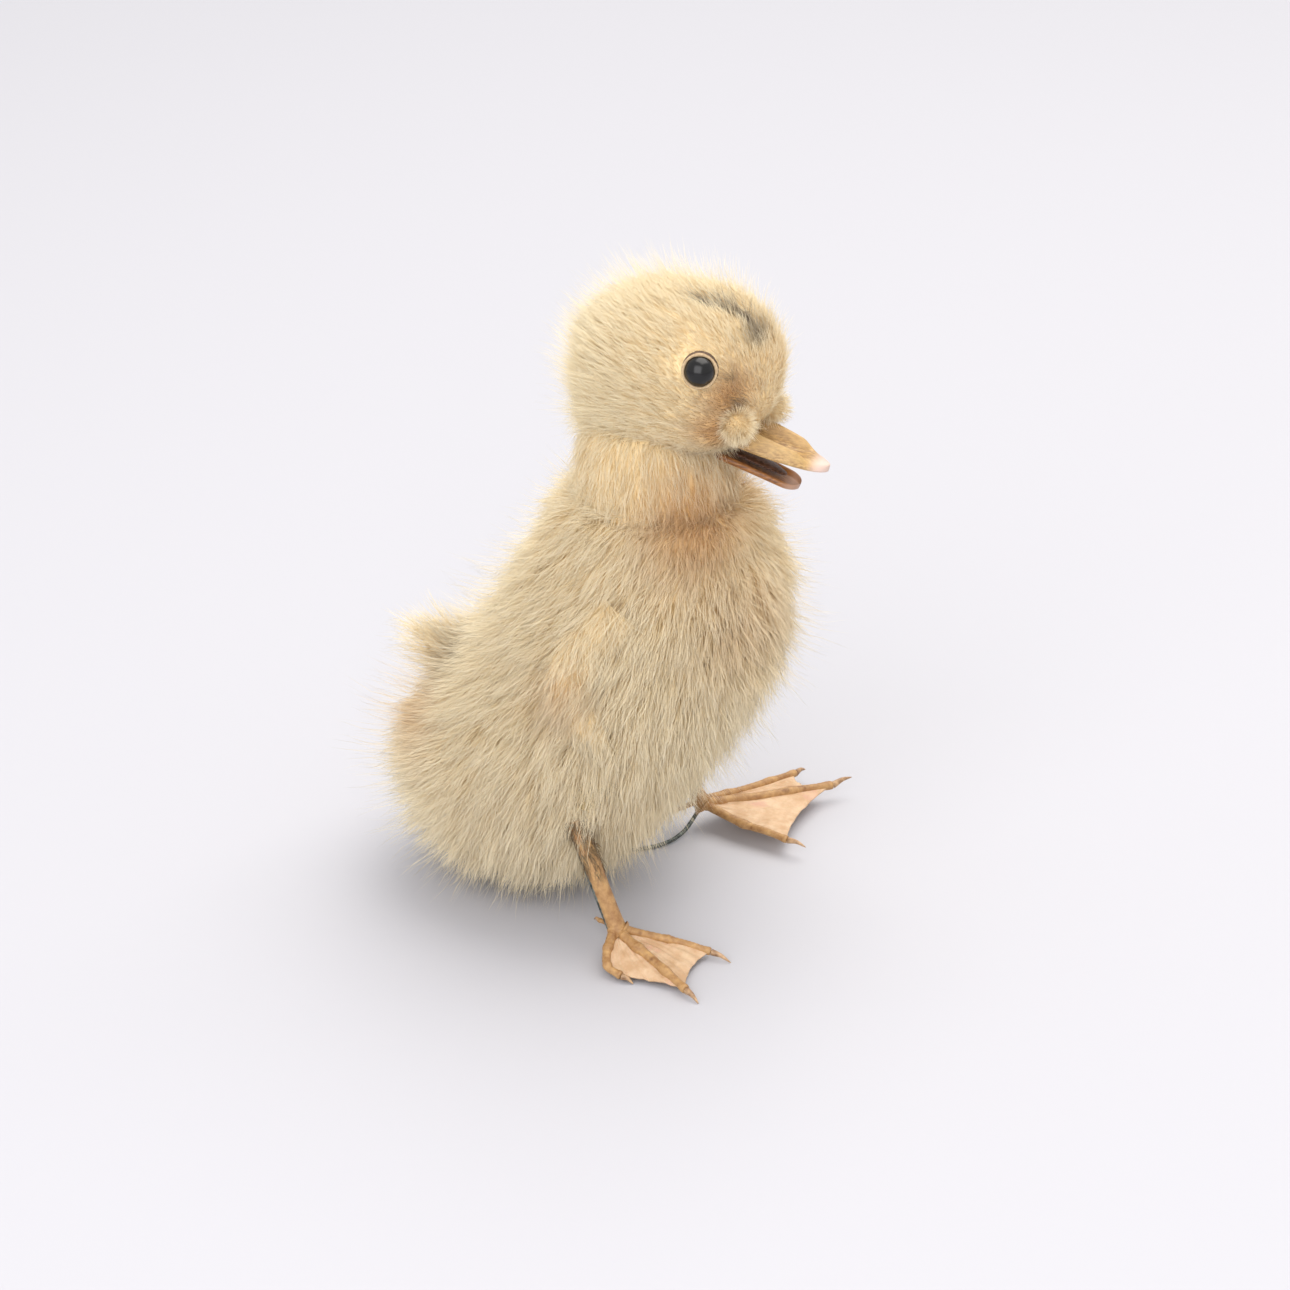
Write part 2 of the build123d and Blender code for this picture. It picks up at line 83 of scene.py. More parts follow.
# %% Mesh and node helpers
def linear(hex_colour):
    """An sRGB hex colour as the linear RGBA that shaders use."""
    channels = [int(hex_colour[i:i + 2], 16) / 255 for i in (1, 3, 5)]
    return (*[c / 12.92 if c <= 0.04045 else ((c + 0.055) / 1.055) ** 2.4 for c in channels], 1.0)


def node(tree, kind, inputs=None, **settings):
    """Adds a node: settings are its own, inputs are values or sockets to link from."""
    made = tree.nodes.new(kind)
    for key, value in settings.items():
        setattr(made, key, value)
    for socket, value in (inputs or {}).items():
        if isinstance(value, bpy.types.NodeSocket):
            tree.links.new(value, made.inputs[socket])
        else:
            made.inputs[socket].default_value = value
    return made


def piece_of(name, points, faces, material=None):
    """A smooth-shaded closed mesh object from points in metres, faces turned outward."""
    mesh = bpy.data.meshes.new(name)
    mesh.from_pydata([tuple(p) for p in points], [], [tuple(f) for f in faces])
    shape = bmesh.new()
    shape.from_mesh(mesh)
    bmesh.ops.recalc_face_normals(shape, faces=shape.faces)
    shape.to_mesh(mesh)
    shape.free()
    mesh.shade_smooth()
    made = bpy.data.objects.new(name, mesh)
    bpy.context.scene.collection.objects.link(made)
    if material:
        mesh.materials.append(material)
    return made


def ring_mesh(rings):
    """Points and faces of a closed skin over rings of equal size, capped at both ends."""
    count, around = len(rings), len(rings[0])
    points = np.concatenate([*rings, [np.mean(rings[0], axis=0)], [np.mean(rings[-1], axis=0)]])
    faces = []
    for i in range(count - 1):
        for j in range(around):
            k = (j + 1) % around
            faces.append((i * around + j, i * around + k, (i + 1) * around + k, (i + 1) * around + j))
    for j in range(around):
        k = (j + 1) % around
        faces.append((count * around, k, j))
        faces.append((count * around + 1, (count - 1) * around + j, (count - 1) * around + k))
    return points, faces


def joined(parts):
    """Several (points, faces) pairs as one."""
    points, faces, offset = [], [], 0
    for part_points, part_faces in parts:
        points.append(part_points)
        faces += [tuple(i + offset for i in face) for face in part_faces]
        offset += len(part_points)
    return np.concatenate(points), faces


def smooth_path(stations, count):
    """A curve through stations (Catmull-Rom), as count points with an even parameter."""
    stations = np.asarray(stations, float)
    padded = np.vstack([2 * stations[0] - stations[1], stations, 2 * stations[-1] - stations[-2]])
    places = np.linspace(0, len(stations) - 1, count)
    out = []
    for place in places:
        i = min(int(place), len(stations) - 2)
        t = place - i
        a, b, c, d = padded[i:i + 4]
        out.append(0.5 * (2 * b + (c - a) * t + (2 * a - 5 * b + 4 * c - d) * t ** 2
                          + (3 * b - a - 3 * c + d) * t ** 3))
    return np.array(out)


def path_rings(path, radius, up=(0, 0, 1), around=20, flat=1.0):
    """Rings round a path. radius(share, angle) is in mm; flat squeezes them along up."""
    path = np.asarray(path)
    heading = unit(np.gradient(path, axis=0))
    side = unit(np.cross(heading, up))
    top = unit(np.cross(side, heading))
    angles = np.linspace(0, 2 * math.pi, around, endpoint=False)
    rings = []
    for i, point in enumerate(path):
        share = i / (len(path) - 1)
        sizes = np.array([radius(share, angle) for angle in angles])[:, None] * MM
        rings.append(point + sizes * (np.cos(angles)[:, None] * side[i]
                                      + flat * np.sin(angles)[:, None] * top[i]))
    return rings


# %% [markdown]
# ## Camera, light and floor
# A long lens keeps the proportions calm. A pale floor and a large soft light above and a little
# behind the bird give the soft, warm contact shadows of a studio table.

# %% Camera, light and floor
VIEW_AZIMUTH, VIEW_ELEVATION, VIEW_DISTANCE = math.radians(19), math.radians(27), 0.70
aim = at((-3.2, 0, 50.6))
back = np.array((math.sin(VIEW_AZIMUTH) * math.cos(VIEW_ELEVATION),
                 -math.cos(VIEW_AZIMUTH) * math.cos(VIEW_ELEVATION), math.sin(VIEW_ELEVATION)))
camera = bpy.data.objects.new("camera", bpy.data.cameras.new("camera"))
camera.data.lens = 107
camera.data.sensor_width = 36
camera.location = aim + back * VIEW_DISTANCE
camera.rotation_euler = (-Vector(back)).to_track_quat("-Z", "Y").to_euler()
bpy.context.scene.collection.objects.link(camera)
bpy.context.scene.camera = camera
bpy.context.scene.view_settings.view_transform = "Standard"

world = bpy.data.worlds.new("studio")
bpy.context.scene.world = world
world.use_nodes = True
world.node_tree.nodes["Background"].inputs["Color"].default_value = linear("#FAF9F9")
world.node_tree.nodes["Background"].inputs["Strength"].default_value = 0.90


def soft_light(name, offset, size, power, colour):
    """A square area light that looks at the bird."""
    light = bpy.data.objects.new(name, bpy.data.lights.new(name, "AREA"))
    light.data.size = size
    light.data.energy = power
    light.data.color = linear(colour)[:3]
    light.location = aim + np.array(offset)
    light.rotation_euler = (-Vector(offset)).to_track_quat("-Z", "Y").to_euler()
    bpy.context.scene.collection.objects.link(light)


soft_light("overhead", (0.12, 0.35, 1.0), 1.0, 9.6, "#FFFAF3")
soft_light("front_fill", (0.05, -0.9, 0.6), 1.0, 7.2, "#FBFAFC")

floor_mesh = bpy.data.meshes.new("floor")
floor_mesh.from_pydata([(-4, -4, 0), (4, -4, 0), (4, 4, 0), (-4, 4, 0)], [], [(0, 1, 2, 3)])
floor = bpy.data.objects.new("floor", floor_mesh)
bpy.context.scene.collection.objects.link(floor)
floor_paint = bpy.data.materials.new("matt_studio_table")
floor_paint.use_nodes = True
floor_paint.node_tree.nodes["Principled BSDF"].inputs["Base Color"].default_value = linear("#C2C2C8")
floor_paint.node_tree.nodes["Principled BSDF"].inputs["Roughness"].default_value = 0.7
floor_mesh.materials.append(floor_paint)
print("camera at, m:", np.round(camera.location, 3))

# %% [markdown]
# ## Materials of dried skin, horn, wire and stuffing
# Most of the mount's stuffs are one family: a natural colour that drifts over a few tenths of a
# millimetre, a satin or matt skin and a fine relief. One function builds that family from real
# sizes, and each stuff gets its own colours, grain and gloss.

# %% Natural stuffs
def natural(name, dark, light, grain_mm, roughness, relief_mm=0.03, stretch=(1, 1, 1), metallic=0.0,
            contrast=(0.35, 0.65), spots=None):
    """A material whose colour drifts between dark and light over grains of a real size."""
    made = bpy.data.materials.new(name)
    made.use_nodes = True
    tree = made.node_tree
    shader = tree.nodes["Principled BSDF"]
    place = node(tree, "ShaderNodeTexCoord").outputs["Object"]
    turned = node(tree, "ShaderNodeMapping", {"Vector": place, "Scale": stretch})
    grain = node(tree, "ShaderNodeTexNoise", {"Vector": turned.outputs["Vector"],
                                              "Scale": 1 / (grain_mm * MM), "Detail": 5.0,
                                              "Roughness": 0.6})
    ramp = node(tree, "ShaderNodeValToRGB", {"Fac": grain.outputs["Fac"]})
    for element, position, colour in zip(ramp.color_ramp.elements, contrast, (dark, light)):
        element.position = position
        element.color = linear(colour)
    colour_socket = ramp.outputs["Color"]
    if spots:
        spot_colour, spot_mm, spot_share = spots
        blots = node(tree, "ShaderNodeTexNoise", {"Vector": place, "Scale": 1 / (spot_mm * MM),
                                                  "Detail": 3.0})
        mask = node(tree, "ShaderNodeMapRange", {"Value": blots.outputs["Fac"],
                                                 "From Min": 1 - spot_share - 0.08,
                                                 "From Max": 1 - spot_share + 0.08})
        mixed = node(tree, "ShaderNodeMix", {"Factor": mask.outputs["Result"], "A": colour_socket,
                                             "B": linear(spot_colour)}, data_type="RGBA")
        colour_socket = mixed.outputs["Result"]
    tree.links.new(colour_socket, shader.inputs["Base Color"])
    bump = node(tree, "ShaderNodeBump", {"Height": grain.outputs["Fac"], "Distance": relief_mm * MM,
                                         "Strength": 0.6})
    tree.links.new(bump.outputs["Normal"], shader.inputs["Normal"])
    shader.inputs["Roughness"].default_value = roughness
    shader.inputs["Metallic"].default_value = metallic
    return made


stuffs = {
    # Spun wood shavings: long pale fibres, no gloss.
    "wood_wool": natural("wound_wood_wool", "#8C6B3C", "#C8A870", 1.2, 0.85, 0.3, (3, 3, 0.6)),
    # Linen thread: pale waxed twist.
    "linen_thread": natural("waxed_linen_thread", "#B7A67F", "#DCCFA9", 0.4, 0.7),
    # Zinc on annealed iron: dull grey with a green cast and white bloom.
    "galvanised_wire": natural("galvanised_annealed_wire", "#3B403D", "#7C827C", 0.9, 0.45, 0.02,
                               metallic=0.75),
    "steel_pin": natural("drawn_steel_pin", "#6E6E6C", "#9A9A97", 0.6, 0.3, 0.01, metallic=1.0),
    # Combed flax: straw-coloured, matt.
    "tow": natural("wound_flax_tow", "#8E7A50", "#C9B484", 0.7, 0.9, 0.2, (2, 2, 0.5)),
    # Boiled bone: chalky cream.
    "bone": natural("boiled_bone", "#CDBE9C", "#EFE6CF", 1.5, 0.55),
    "clay": natural("dried_modelling_clay", "#4A3A30", "#6E5848", 0.8, 0.8, 0.05),
    # Enamelled glass: deep black under a clear polish.
    "black_glass": natural("black_enamelled_glass", "#020203", "#050506", 2.0, 0.22, 0.0),
    # Eyelid: thin pale dried skin.
    "dried_skin": natural("dried_eyelid_skin", "#A98C68", "#CDB48E", 0.5, 0.6),
    "felted_skin": natural("felted_throat_skin", "#B4A294", "#DCCFC4", 0.6, 0.9, 0.15),
}
print("natural stuffs:", len(stuffs))

# %% [markdown]
# ## The skin under the down
# Under the fringe there is a soft golden mass of short down on a skin. It could be left to the
# strands alone, but a bald gap would then show the inside, so each body part has a closed,
# lumpy skin a few millimetres under its outline, and the long strands grow from it.

# %% Torso skin
# Height, centre forward of the ankles, half length and half width, in mm.
TORSO_SECTIONS = np.array([
    (5.5, -25.0, 4.5, 4.5), (7.0, -25.0, 11.0, 11.0), (11.0, -24.8, 16.8, 16.0),
    (18.0, -23.0, 21.8, 20.2), (28.0, -19.9, 25.6, 23.0), (40.0, -13.2, 25.8, 23.6),
    (52.0, -6.6, 24.6, 22.8), (62.0, -3.0, 22.6, 21.0), (70.0, -1.2, 21.0, 19.4),
    (76.0, -0.8, 18.6, 17.4), (81.0, -0.4, 15.6, 14.6), (84.0, -1.0, 8.0, 8.0)])
TORSO_RINGS, TORSO_AROUND = 110, 150

heights = smooth_path(TORSO_SECTIONS, TORSO_RINGS)
angles = np.linspace(0, 2 * math.pi, TORSO_AROUND, endpoint=False)
torso_rings = []
for height, centre_x, half_length, half_width in heights:
    ring = np.stack([centre_x + half_length * np.cos(angles), half_width * np.sin(angles),
                     np.full(TORSO_AROUND, height)], axis=1)
    # The breast has a soft keel and the flanks are a little flat.
    ring[:, 0] += 1.2 * np.exp(-((height - 58) / 16) ** 2) * np.maximum(np.cos(angles), 0) ** 4
    torso_rings.append(at(ring))
torso_skin = piece_of("torso_under_down", *ring_mesh(torso_rings))
print("torso skin faces:", len(torso_skin.data.polygons))

# %% Head skin
HEAD_MIDDLE = np.array((3.6, 0, 106.2))
HEAD_RADII = np.array((17.2, 13.8, 14.6))
EYE_MIDDLE = np.array((11.2, 13.1, 112.0))


def both_sides(x, y, z):
    """A direction or point of the left side with its mirror on the right."""
    return [np.array((x, y * side, z), float) for side in (1, -1)]


# Swellings and hollows of the head: direction, height as a share of the radius, spread in degrees.
HEAD_FORMS = [(direction, 0.05, 24) for direction in both_sides(0.35, 0.8, -0.5)]
HEAD_FORMS += [(direction, 0.17, 13) for direction in both_sides(*(EYE_MIDDLE - HEAD_MIDDLE))]
HEAD_FORMS += [(direction, -0.06, 11) for direction in both_sides(12.5, 7.2, 0.2)]
HEAD_FORMS += [(direction, 0.13, 10) for direction in both_sides(12.6, 6.6, -6.6)]
HEAD_FORMS += [(np.array((1.0, 0, 0.42)), 0.10, 24), (np.array((-0.7, 0, 0.5)), 0.04, 40),
               (np.array((-0.75, 0, -0.75)), 0.24, 30), (np.array((0.60, 0, 0.80)), 0.09, 24)]
HEAD_FORMS += [(direction, 0.10, 14) for direction in both_sides(8.0, 11.0, -9.5)]

head_skin = bpy.data.objects.new("head_under_down", bpy.data.meshes.new("head_under_down"))
bpy.context.scene.collection.objects.link(head_skin)
ball = bmesh.new()
bmesh.ops.create_icosphere(ball, subdivisions=6, radius=1.0)
ball.to_mesh(head_skin.data)
ball.free()
directions = np.array([v.co[:] for v in head_skin.data.vertices])
directions = unit(directions)
radius = 1 / np.linalg.norm(directions / HEAD_RADII, axis=1)
for direction, swell, spread in HEAD_FORMS:
    away = np.degrees(np.arccos(np.clip(directions @ unit(direction), -1, 1)))
    radius *= 1 + swell * np.exp(-(away / spread) ** 2)
head_points = at(HEAD_MIDDLE + directions * radius[:, None])
head_skin.data.vertices.foreach_set("co", head_points.ravel())
head_skin.data.shade_smooth()
print("head skin faces:", len(head_skin.data.polygons))

# %% Neck, wings and tail skins
neck_path = smooth_path(at([(NECK_X, 0, 77.2), (NECK_X, 0, 86), (NECK_X, 0, 96.5)]), 30)
NECK_R, NECK_FLARE = 13.2, 3.6        # the neck's skin, and how much wider it starts on the shoulders


def neck_radius(share, angle):
    """Flared at the shoulders, straight, then drawn in under the head."""
    return NECK_R * math.cos(1.05 * max(share - 0.5, 0)) + NECK_FLARE * (1 - share) ** 4


neck_skin = piece_of("neck_under_down",
                     *ring_mesh(path_rings(neck_path, neck_radius, around=96, up=(1, 0, 0))))

wing_skins = {}
for side, sign in (("left", 1), ("right", -1)):
    route = at([(-1.0, 19.5 * sign, 67.0), (-8.5, 22.6 * sign, 56.5), (-8.0, 23.8 * sign, 48.5),
                (-2.5, 24.4 * sign, 43.0)])
    wing_skins[side] = piece_of(f"{side}_wing_under_down", *ring_mesh(path_rings(
        smooth_path(route, 36), lambda share, angle: 4.2 * (1.02 - share ** 3) ** 0.6, around=28,
        up=(0, sign, 0.2), flat=0.5)))

tail_path = smooth_path(at([(-33, 0, 41.5), (-40, 0, 43.5), (-46.5, 0, 45.5)]), 24)
tail_skin = piece_of("tail_under_down", *ring_mesh(path_rings(
    tail_path, lambda share, angle: 4.4 * (1.02 - share ** 2) ** 0.7, around=28, flat=0.8)))

# %% [markdown]
# ## Stains and tints of the down
# The down is cream at the tips over a golden-tan depth. The lores and the front of the neck are
# orange-tan, and dark purplish streaks stand on the forehead. They are soft fields round known
# places, kept as attributes so that skin and strands share them.

# %% Fields of colour, cover and growth
def falloff(points, centre, spread):
    """One at a place in mm, fading with distance; spread may differ along each axis."""
    return np.exp(-np.sum(((points - at(centre)) / (np.asarray(spread) * MM)) ** 2, axis=1))


def stain_of(points):
    """Orange-tan stain: face, neck front and the recess under the tail."""
    stain = np.zeros(len(points))
    for centre, spread, amount in (
            [((16.0, y, 106.0), (4.4, 4.6, 4.6), 1.0) for y in (9.5, -9.5)]
            + [((13.6, y, 100.4), (3.8, 4.2, 3.4), 1.0) for y in (10.5, -10.5)]
            + [((9, -10, 83), (7.5, 9, 9), 0.95), ((9, 10, 83), (7.5, 9, 9), 0.6),
               ((18, -8, 66), (9, 10, 10), 0.35), ((-38, -6, 34), (6, 9, 7), 0.85),
               ((17, 0, 110), (5, 7, 6), 0.25), ((-10, -25, 53), (5, 6, 5), 0.45)]):
        stain = np.maximum(stain, amount * falloff(points, centre, spread))
    return stain


def dark_of(points):
    """Purplish-brown streaks: forehead, tail root and the creases before each eye."""
    dark = np.zeros(len(points))
    for centre, spread, amount in (
            [((17.8, -2.0, 114.4), (1.7, 2.6, 1.7), 1.9), ((15.6, -2.6, 117.2), (2.6, 0.8, 2.0), 1.7),
             ((12.6, -3.2, 119.8), (2.4, 0.6, 2.0), 1.6), ((10.0, -3.4, 121.0), (1.8, 0.8, 2.0), 1.3),
             ((-36, -4, 46), (4, 4, 3), 0.55)]
            + [((15.5, 9.0 * s, 109.5), (1.0, 1.2, 0.9), 0.6) for s in (1, -1)]
            + [((17.0, 8.0 * s, 104.4), (1.4, 1.6, 1.2), 0.8) for s in (1, -1)]
            + [((10.8, 8.8 * s, 95.6), (4.2, 4.6, 3.0), 0.42) for s in (1, -1)]):
        dark = np.maximum(dark, amount * falloff(points, centre, spread))
    return np.minimum(dark, 1)


def normals_of(obj):
    mesh = obj.data
    out = np.empty(len(mesh.vertices) * 3)
    mesh.vertices.foreach_get("normal", out)
    return out.reshape(-1, 3)


def points_of(obj):
    out = np.empty(len(obj.data.vertices) * 3)
    obj.data.vertices.foreach_get("co", out)
    return out.reshape(-1, 3)


def keep(obj, name, values):
    """Stores a number or a vector for every vertex."""
    values = np.asarray(values, np.float32)
    kind = "FLOAT_VECTOR" if values.ndim == 2 else "FLOAT"
    attribute = obj.data.attributes.new(name, kind, "POINT")
    attribute.data.foreach_set("vector" if values.ndim == 2 else "value", values.ravel())


def groom(obj, flow, length_mm, lift, cover, marks=1.0):
    """Stores how down grows on a skin: flow is laid flat on it, length in mm, lift off it."""
    points, normals = points_of(obj), normals_of(obj)
    flow = np.broadcast_to(flow, points.shape)
    flat = unit(flow - np.sum(flow * normals, axis=1, keepdims=True) * normals)
    keep(obj, "flow", flat)
    keep(obj, "grow_length", np.broadcast_to(length_mm, len(points)) * MM)
    keep(obj, "lift", np.broadcast_to(lift, len(points)))
    keep(obj, "cover", np.clip(np.broadcast_to(cover, len(points)), 0, 1))
    keep(obj, "stain", marks * stain_of(points))
    keep(obj, "dark", marks * dark_of(points))


torso_points = (points_of(torso_skin) - floor_point) / MM
rear = np.clip((-torso_points[:, 0] - 26) / 18, 0, 1)[:, None]
low = np.clip((22 - torso_points[:, 2]) / 14, 0, 1)[:, None]
torso_flow = np.array((-0.35, 0, -1.0)) * (1 - rear) + np.array((-1.0, 0, -0.28)) * rear
torso_flow = torso_flow + low * np.array((-0.1, 0, -0.8))
torso_length = 9.6 + 1.6 * rear[:, 0] - 3.0 * np.clip((torso_points[:, 2] - 66) / 12, 0, 1)
groom(torso_skin, torso_flow, torso_length, 0.60 + 0.35 * rear[:, 0], 1.0)

groom(neck_skin, (0, 0, -1), 7.0, 0.55, 1.0)

head_mm = (points_of(head_skin) - floor_point) / MM
BILL_ROOT = np.array((19.5, 0, 97.5))
head_flow = head_mm - BILL_ROOT
near_eye = np.min([np.linalg.norm(head_mm - eye, axis=1) for eye in both_sides(*EYE_MIDDLE)], axis=0)
bill_gap = np.linalg.norm((head_mm - np.array((20.5, 0, 92.6))) / (8.5, 5.0, 3.4), axis=1)
throat = np.sum([np.exp(-np.sum(((head_mm - patch) / (4.2, 4.8, 3.2)) ** 2, axis=1))
                 for patch in both_sides(10.8, 8.8, 95.6)], axis=0)
from_bill = np.linalg.norm(head_flow, axis=1)
head_length = 2.4 + 3.8 * np.clip((from_bill - 6) / 24, 0, 1)
head_length = head_length * np.clip(near_eye / 7.5, 0.32, 1) * (1 - 0.75 * throat)
head_cover = np.clip((near_eye - 3.15) / 0.3, 0, 1) * np.clip((bill_gap - 0.8) * 8, 0, 1)
groom(head_skin, head_flow, head_length, 0.30 + 0.18 * np.clip((from_bill - 20) / 12, 0, 1), head_cover)

for side, sign in (("left", 1), ("right", -1)):
    groom(wing_skins[side], (0.15, 0, -1), 6.4, 0.25, 1.0)
groom(tail_skin, (-1, 0, 0.45), 9.4, 0.40, 1.0)
print("longest down, mm:", round(float(torso_length.max()), 1))

# %% [markdown]
# ## Down
# A strand of duckling's down is a fine, soft, slightly curved taper. Hair curves would render
# well but leave nothing in the exported meshes, so each strand is a closed three-sided taper,
# planted by Geometry Nodes, gathered into wisps, and turned into a plain mesh.

# %% One strand
STRAND_RINGS = 3


def strand_of(name, curl):
    """A taper one unit high that leans over by curl, with its height kept as a number."""
    rings, shares = [], []
    for i in range(STRAND_RINGS):
        share = (0.0, 0.38, 0.74)[i]
        size = (1.0, 0.8, 0.48)[i]
        corners = [2 * math.pi * j / 3 for j in range(3)]
        rings.append(np.array([(curl * share ** 2 + size * math.cos(a), size * math.sin(a), share)
                               for a in corners]))
        shares += [share] * 3
    points = np.concatenate([*rings, [(curl, 0, 1.0)]])
    faces = [(2, 1, 0)]
    for i in range(STRAND_RINGS - 1):
        for j in range(3):
            k = (j + 1) % 3
            faces.append((i * 3 + j, i * 3 + k, i * 3 + 3 + k, i * 3 + 3 + j))
    last = (STRAND_RINGS - 1) * 3
    faces += [(last + j, last + (j + 1) % 3, last + 3) for j in range(3)]
    mesh = bpy.data.meshes.new(name)
    mesh.from_pydata([tuple(p) for p in points], [], faces)
    mesh.shade_smooth()
    made = bpy.data.objects.new(name, mesh)
    keep(made, "share", shares + [1.0])
    return made


strand = strand_of("one_strand", 0.0)
STRAND_POINTS = len(strand.data.vertices)
STRAND_TRIANGLES = sum(len(f.vertices) - 2 for f in strand.data.polygons)
print("triangles in a strand:", STRAND_TRIANGLES)

# %% The down's Geometry Nodes tree
down_tree = bpy.data.node_groups.new("plant_down", "GeometryNodeTree")
INPUTS = (("Strand", "NodeSocketObject", None), ("Density", "NodeSocketFloat", 1e6),
          ("Seed", "NodeSocketInt", 1), ("Thickness", "NodeSocketFloat", 0.00009),
          ("Curl", "NodeSocketFloat", 0.3), ("Wisp", "NodeSocketFloat", 0.0022),
          ("Gather", "NodeSocketFloat", 0.55), ("Stuff", "NodeSocketMaterial", None))
down_tree.interface.new_socket("Geometry", in_out="INPUT", socket_type="NodeSocketGeometry")
down_tree.interface.new_socket("Geometry", in_out="OUTPUT", socket_type="NodeSocketGeometry")
for name, kind, default in INPUTS:
    socket = down_tree.interface.new_socket(name, in_out="INPUT", socket_type=kind)
    if default is not None:
        socket.default_value = default
given = node(down_tree, "NodeGroupInput").outputs


def field(name, kind="FLOAT"):
    """A named attribute in the down tree."""
    return node(down_tree, "GeometryNodeInputNamedAttribute", {"Name": name},
                data_type=kind).outputs["Attribute"]


def maths(operation, a, b=0.0, kind="ShaderNodeMath"):
    """A sum on numbers, or on vectors when kind says so."""
    made = node(down_tree, kind, {0: a, 1: b}, operation=operation)
    return made.outputs["Value" if kind == "ShaderNodeMath" else "Vector"]


def vectors(operation, a, b=(0, 0, 0)):
    return maths(operation, a, b, "ShaderNodeVectorMath")


def scaled(vector, amount):
    made = node(down_tree, "ShaderNodeVectorMath", {0: vector, "Scale": amount}, operation="SCALE")
    return made.outputs["Vector"]


def chance(low, high, offset, kind="FLOAT"):
    made = node(down_tree, "FunctionNodeRandomValue", {"Seed": maths("ADD", given["Seed"], offset)},
                data_type=kind)
    sockets = [s for s in made.inputs if s.enabled and s.name in ("Min", "Max")]
    sockets[0].default_value, sockets[1].default_value = low, high
    return [s for s in made.outputs if s.enabled][0]


scatter = node(down_tree, "GeometryNodeDistributePointsOnFaces",
               {"Mesh": given["Geometry"], "Density": maths("MULTIPLY", given["Density"], field("cover")),
                "Seed": given["Seed"]}, distribute_method="RANDOM")
root = node(down_tree, "GeometryNodeInputPosition").outputs["Position"]
cells = node(down_tree, "ShaderNodeTexVoronoi",
             {"Vector": root, "Scale": maths("DIVIDE", 1.0, given["Wisp"])})
to_wisp = vectors("SUBTRACT", cells.outputs["Position"], root)
wisp_turn = vectors("SUBTRACT", cells.outputs["Color"], (0.5, 0.5, 0.5))
planted = scatter.outputs["Points"]
for name, value, kind in (("to_wisp", to_wisp, "FLOAT_VECTOR"), ("wisp_turn", wisp_turn, "FLOAT_VECTOR"),
                          ("tint", chance(0.0, 1.0, 11), "FLOAT"),
                          ("grown", maths("MULTIPLY", field("grow_length"), chance(0.62, 1.12, 5)),
                           "FLOAT"),
                          ("outward", scatter.outputs["Normal"], "FLOAT_VECTOR")):
    planted = node(down_tree, "GeometryNodeStoreNamedAttribute",
                   {"Geometry": planted, "Name": name, "Value": value},
                   data_type=kind, domain="POINT").outputs["Geometry"]
stray = chance((-0.28, -0.28, -0.28), (0.28, 0.28, 0.28), 23, "FLOAT_VECTOR")
lean = vectors("ADD", field("flow", "FLOAT_VECTOR"), scaled(field("outward", "FLOAT_VECTOR"), field("lift")))
lean = vectors("ADD", vectors("ADD", lean, stray), scaled(field("wisp_turn", "FLOAT_VECTOR"), 0.55))
turn = node(down_tree, "FunctionNodeAlignRotationToVector", {"Vector": lean}, axis="Z").outputs["Rotation"]
size = node(down_tree, "ShaderNodeCombineXYZ", {"X": given["Thickness"], "Y": given["Thickness"],
                                                "Z": field("grown")}).outputs["Vector"]
model = node(down_tree, "GeometryNodeObjectInfo", {"Object": given["Strand"]}).outputs["Geometry"]
standing = node(down_tree, "GeometryNodeInstanceOnPoints",
                {"Points": planted, "Instance": model, "Rotation": turn, "Scale": size})
real = node(down_tree, "GeometryNodeRealizeInstances", {"Geometry": standing.outputs["Instances"]})
share = field("share")
bend = scaled(field("to_wisp", "FLOAT_VECTOR"),
              maths("MULTIPLY", given["Gather"], maths("POWER", share, 1.4)))
sag = scaled(vectors("SUBTRACT", scaled(field("outward", "FLOAT_VECTOR"), -1.0), (0, 0, 0.35)),
             maths("MULTIPLY", maths("MULTIPLY", given["Curl"], field("grown")), maths("POWER", share, 2.0)))
ripple_noise = node(down_tree, "ShaderNodeTexNoise", {"Vector": root, "Scale": 420.0, "Detail": 1.0})
ripple = scaled(vectors("SUBTRACT", ripple_noise.outputs["Color"], (0.5, 0.5, 0.5)),
                maths("MULTIPLY", maths("MULTIPLY", field("grown"), share), 0.42))
placed = node(down_tree, "GeometryNodeSetPosition",
              {"Geometry": real.outputs["Geometry"],
               "Offset": vectors("ADD", vectors("ADD", bend, sag), ripple)})
dressed = node(down_tree, "GeometryNodeSetMaterial", {"Geometry": placed.outputs["Geometry"],
                                                      "Material": given["Stuff"]})
node(down_tree, "NodeGroupOutput", {"Geometry": dressed.outputs["Geometry"]})
print("down tree nodes:", len(down_tree.nodes))

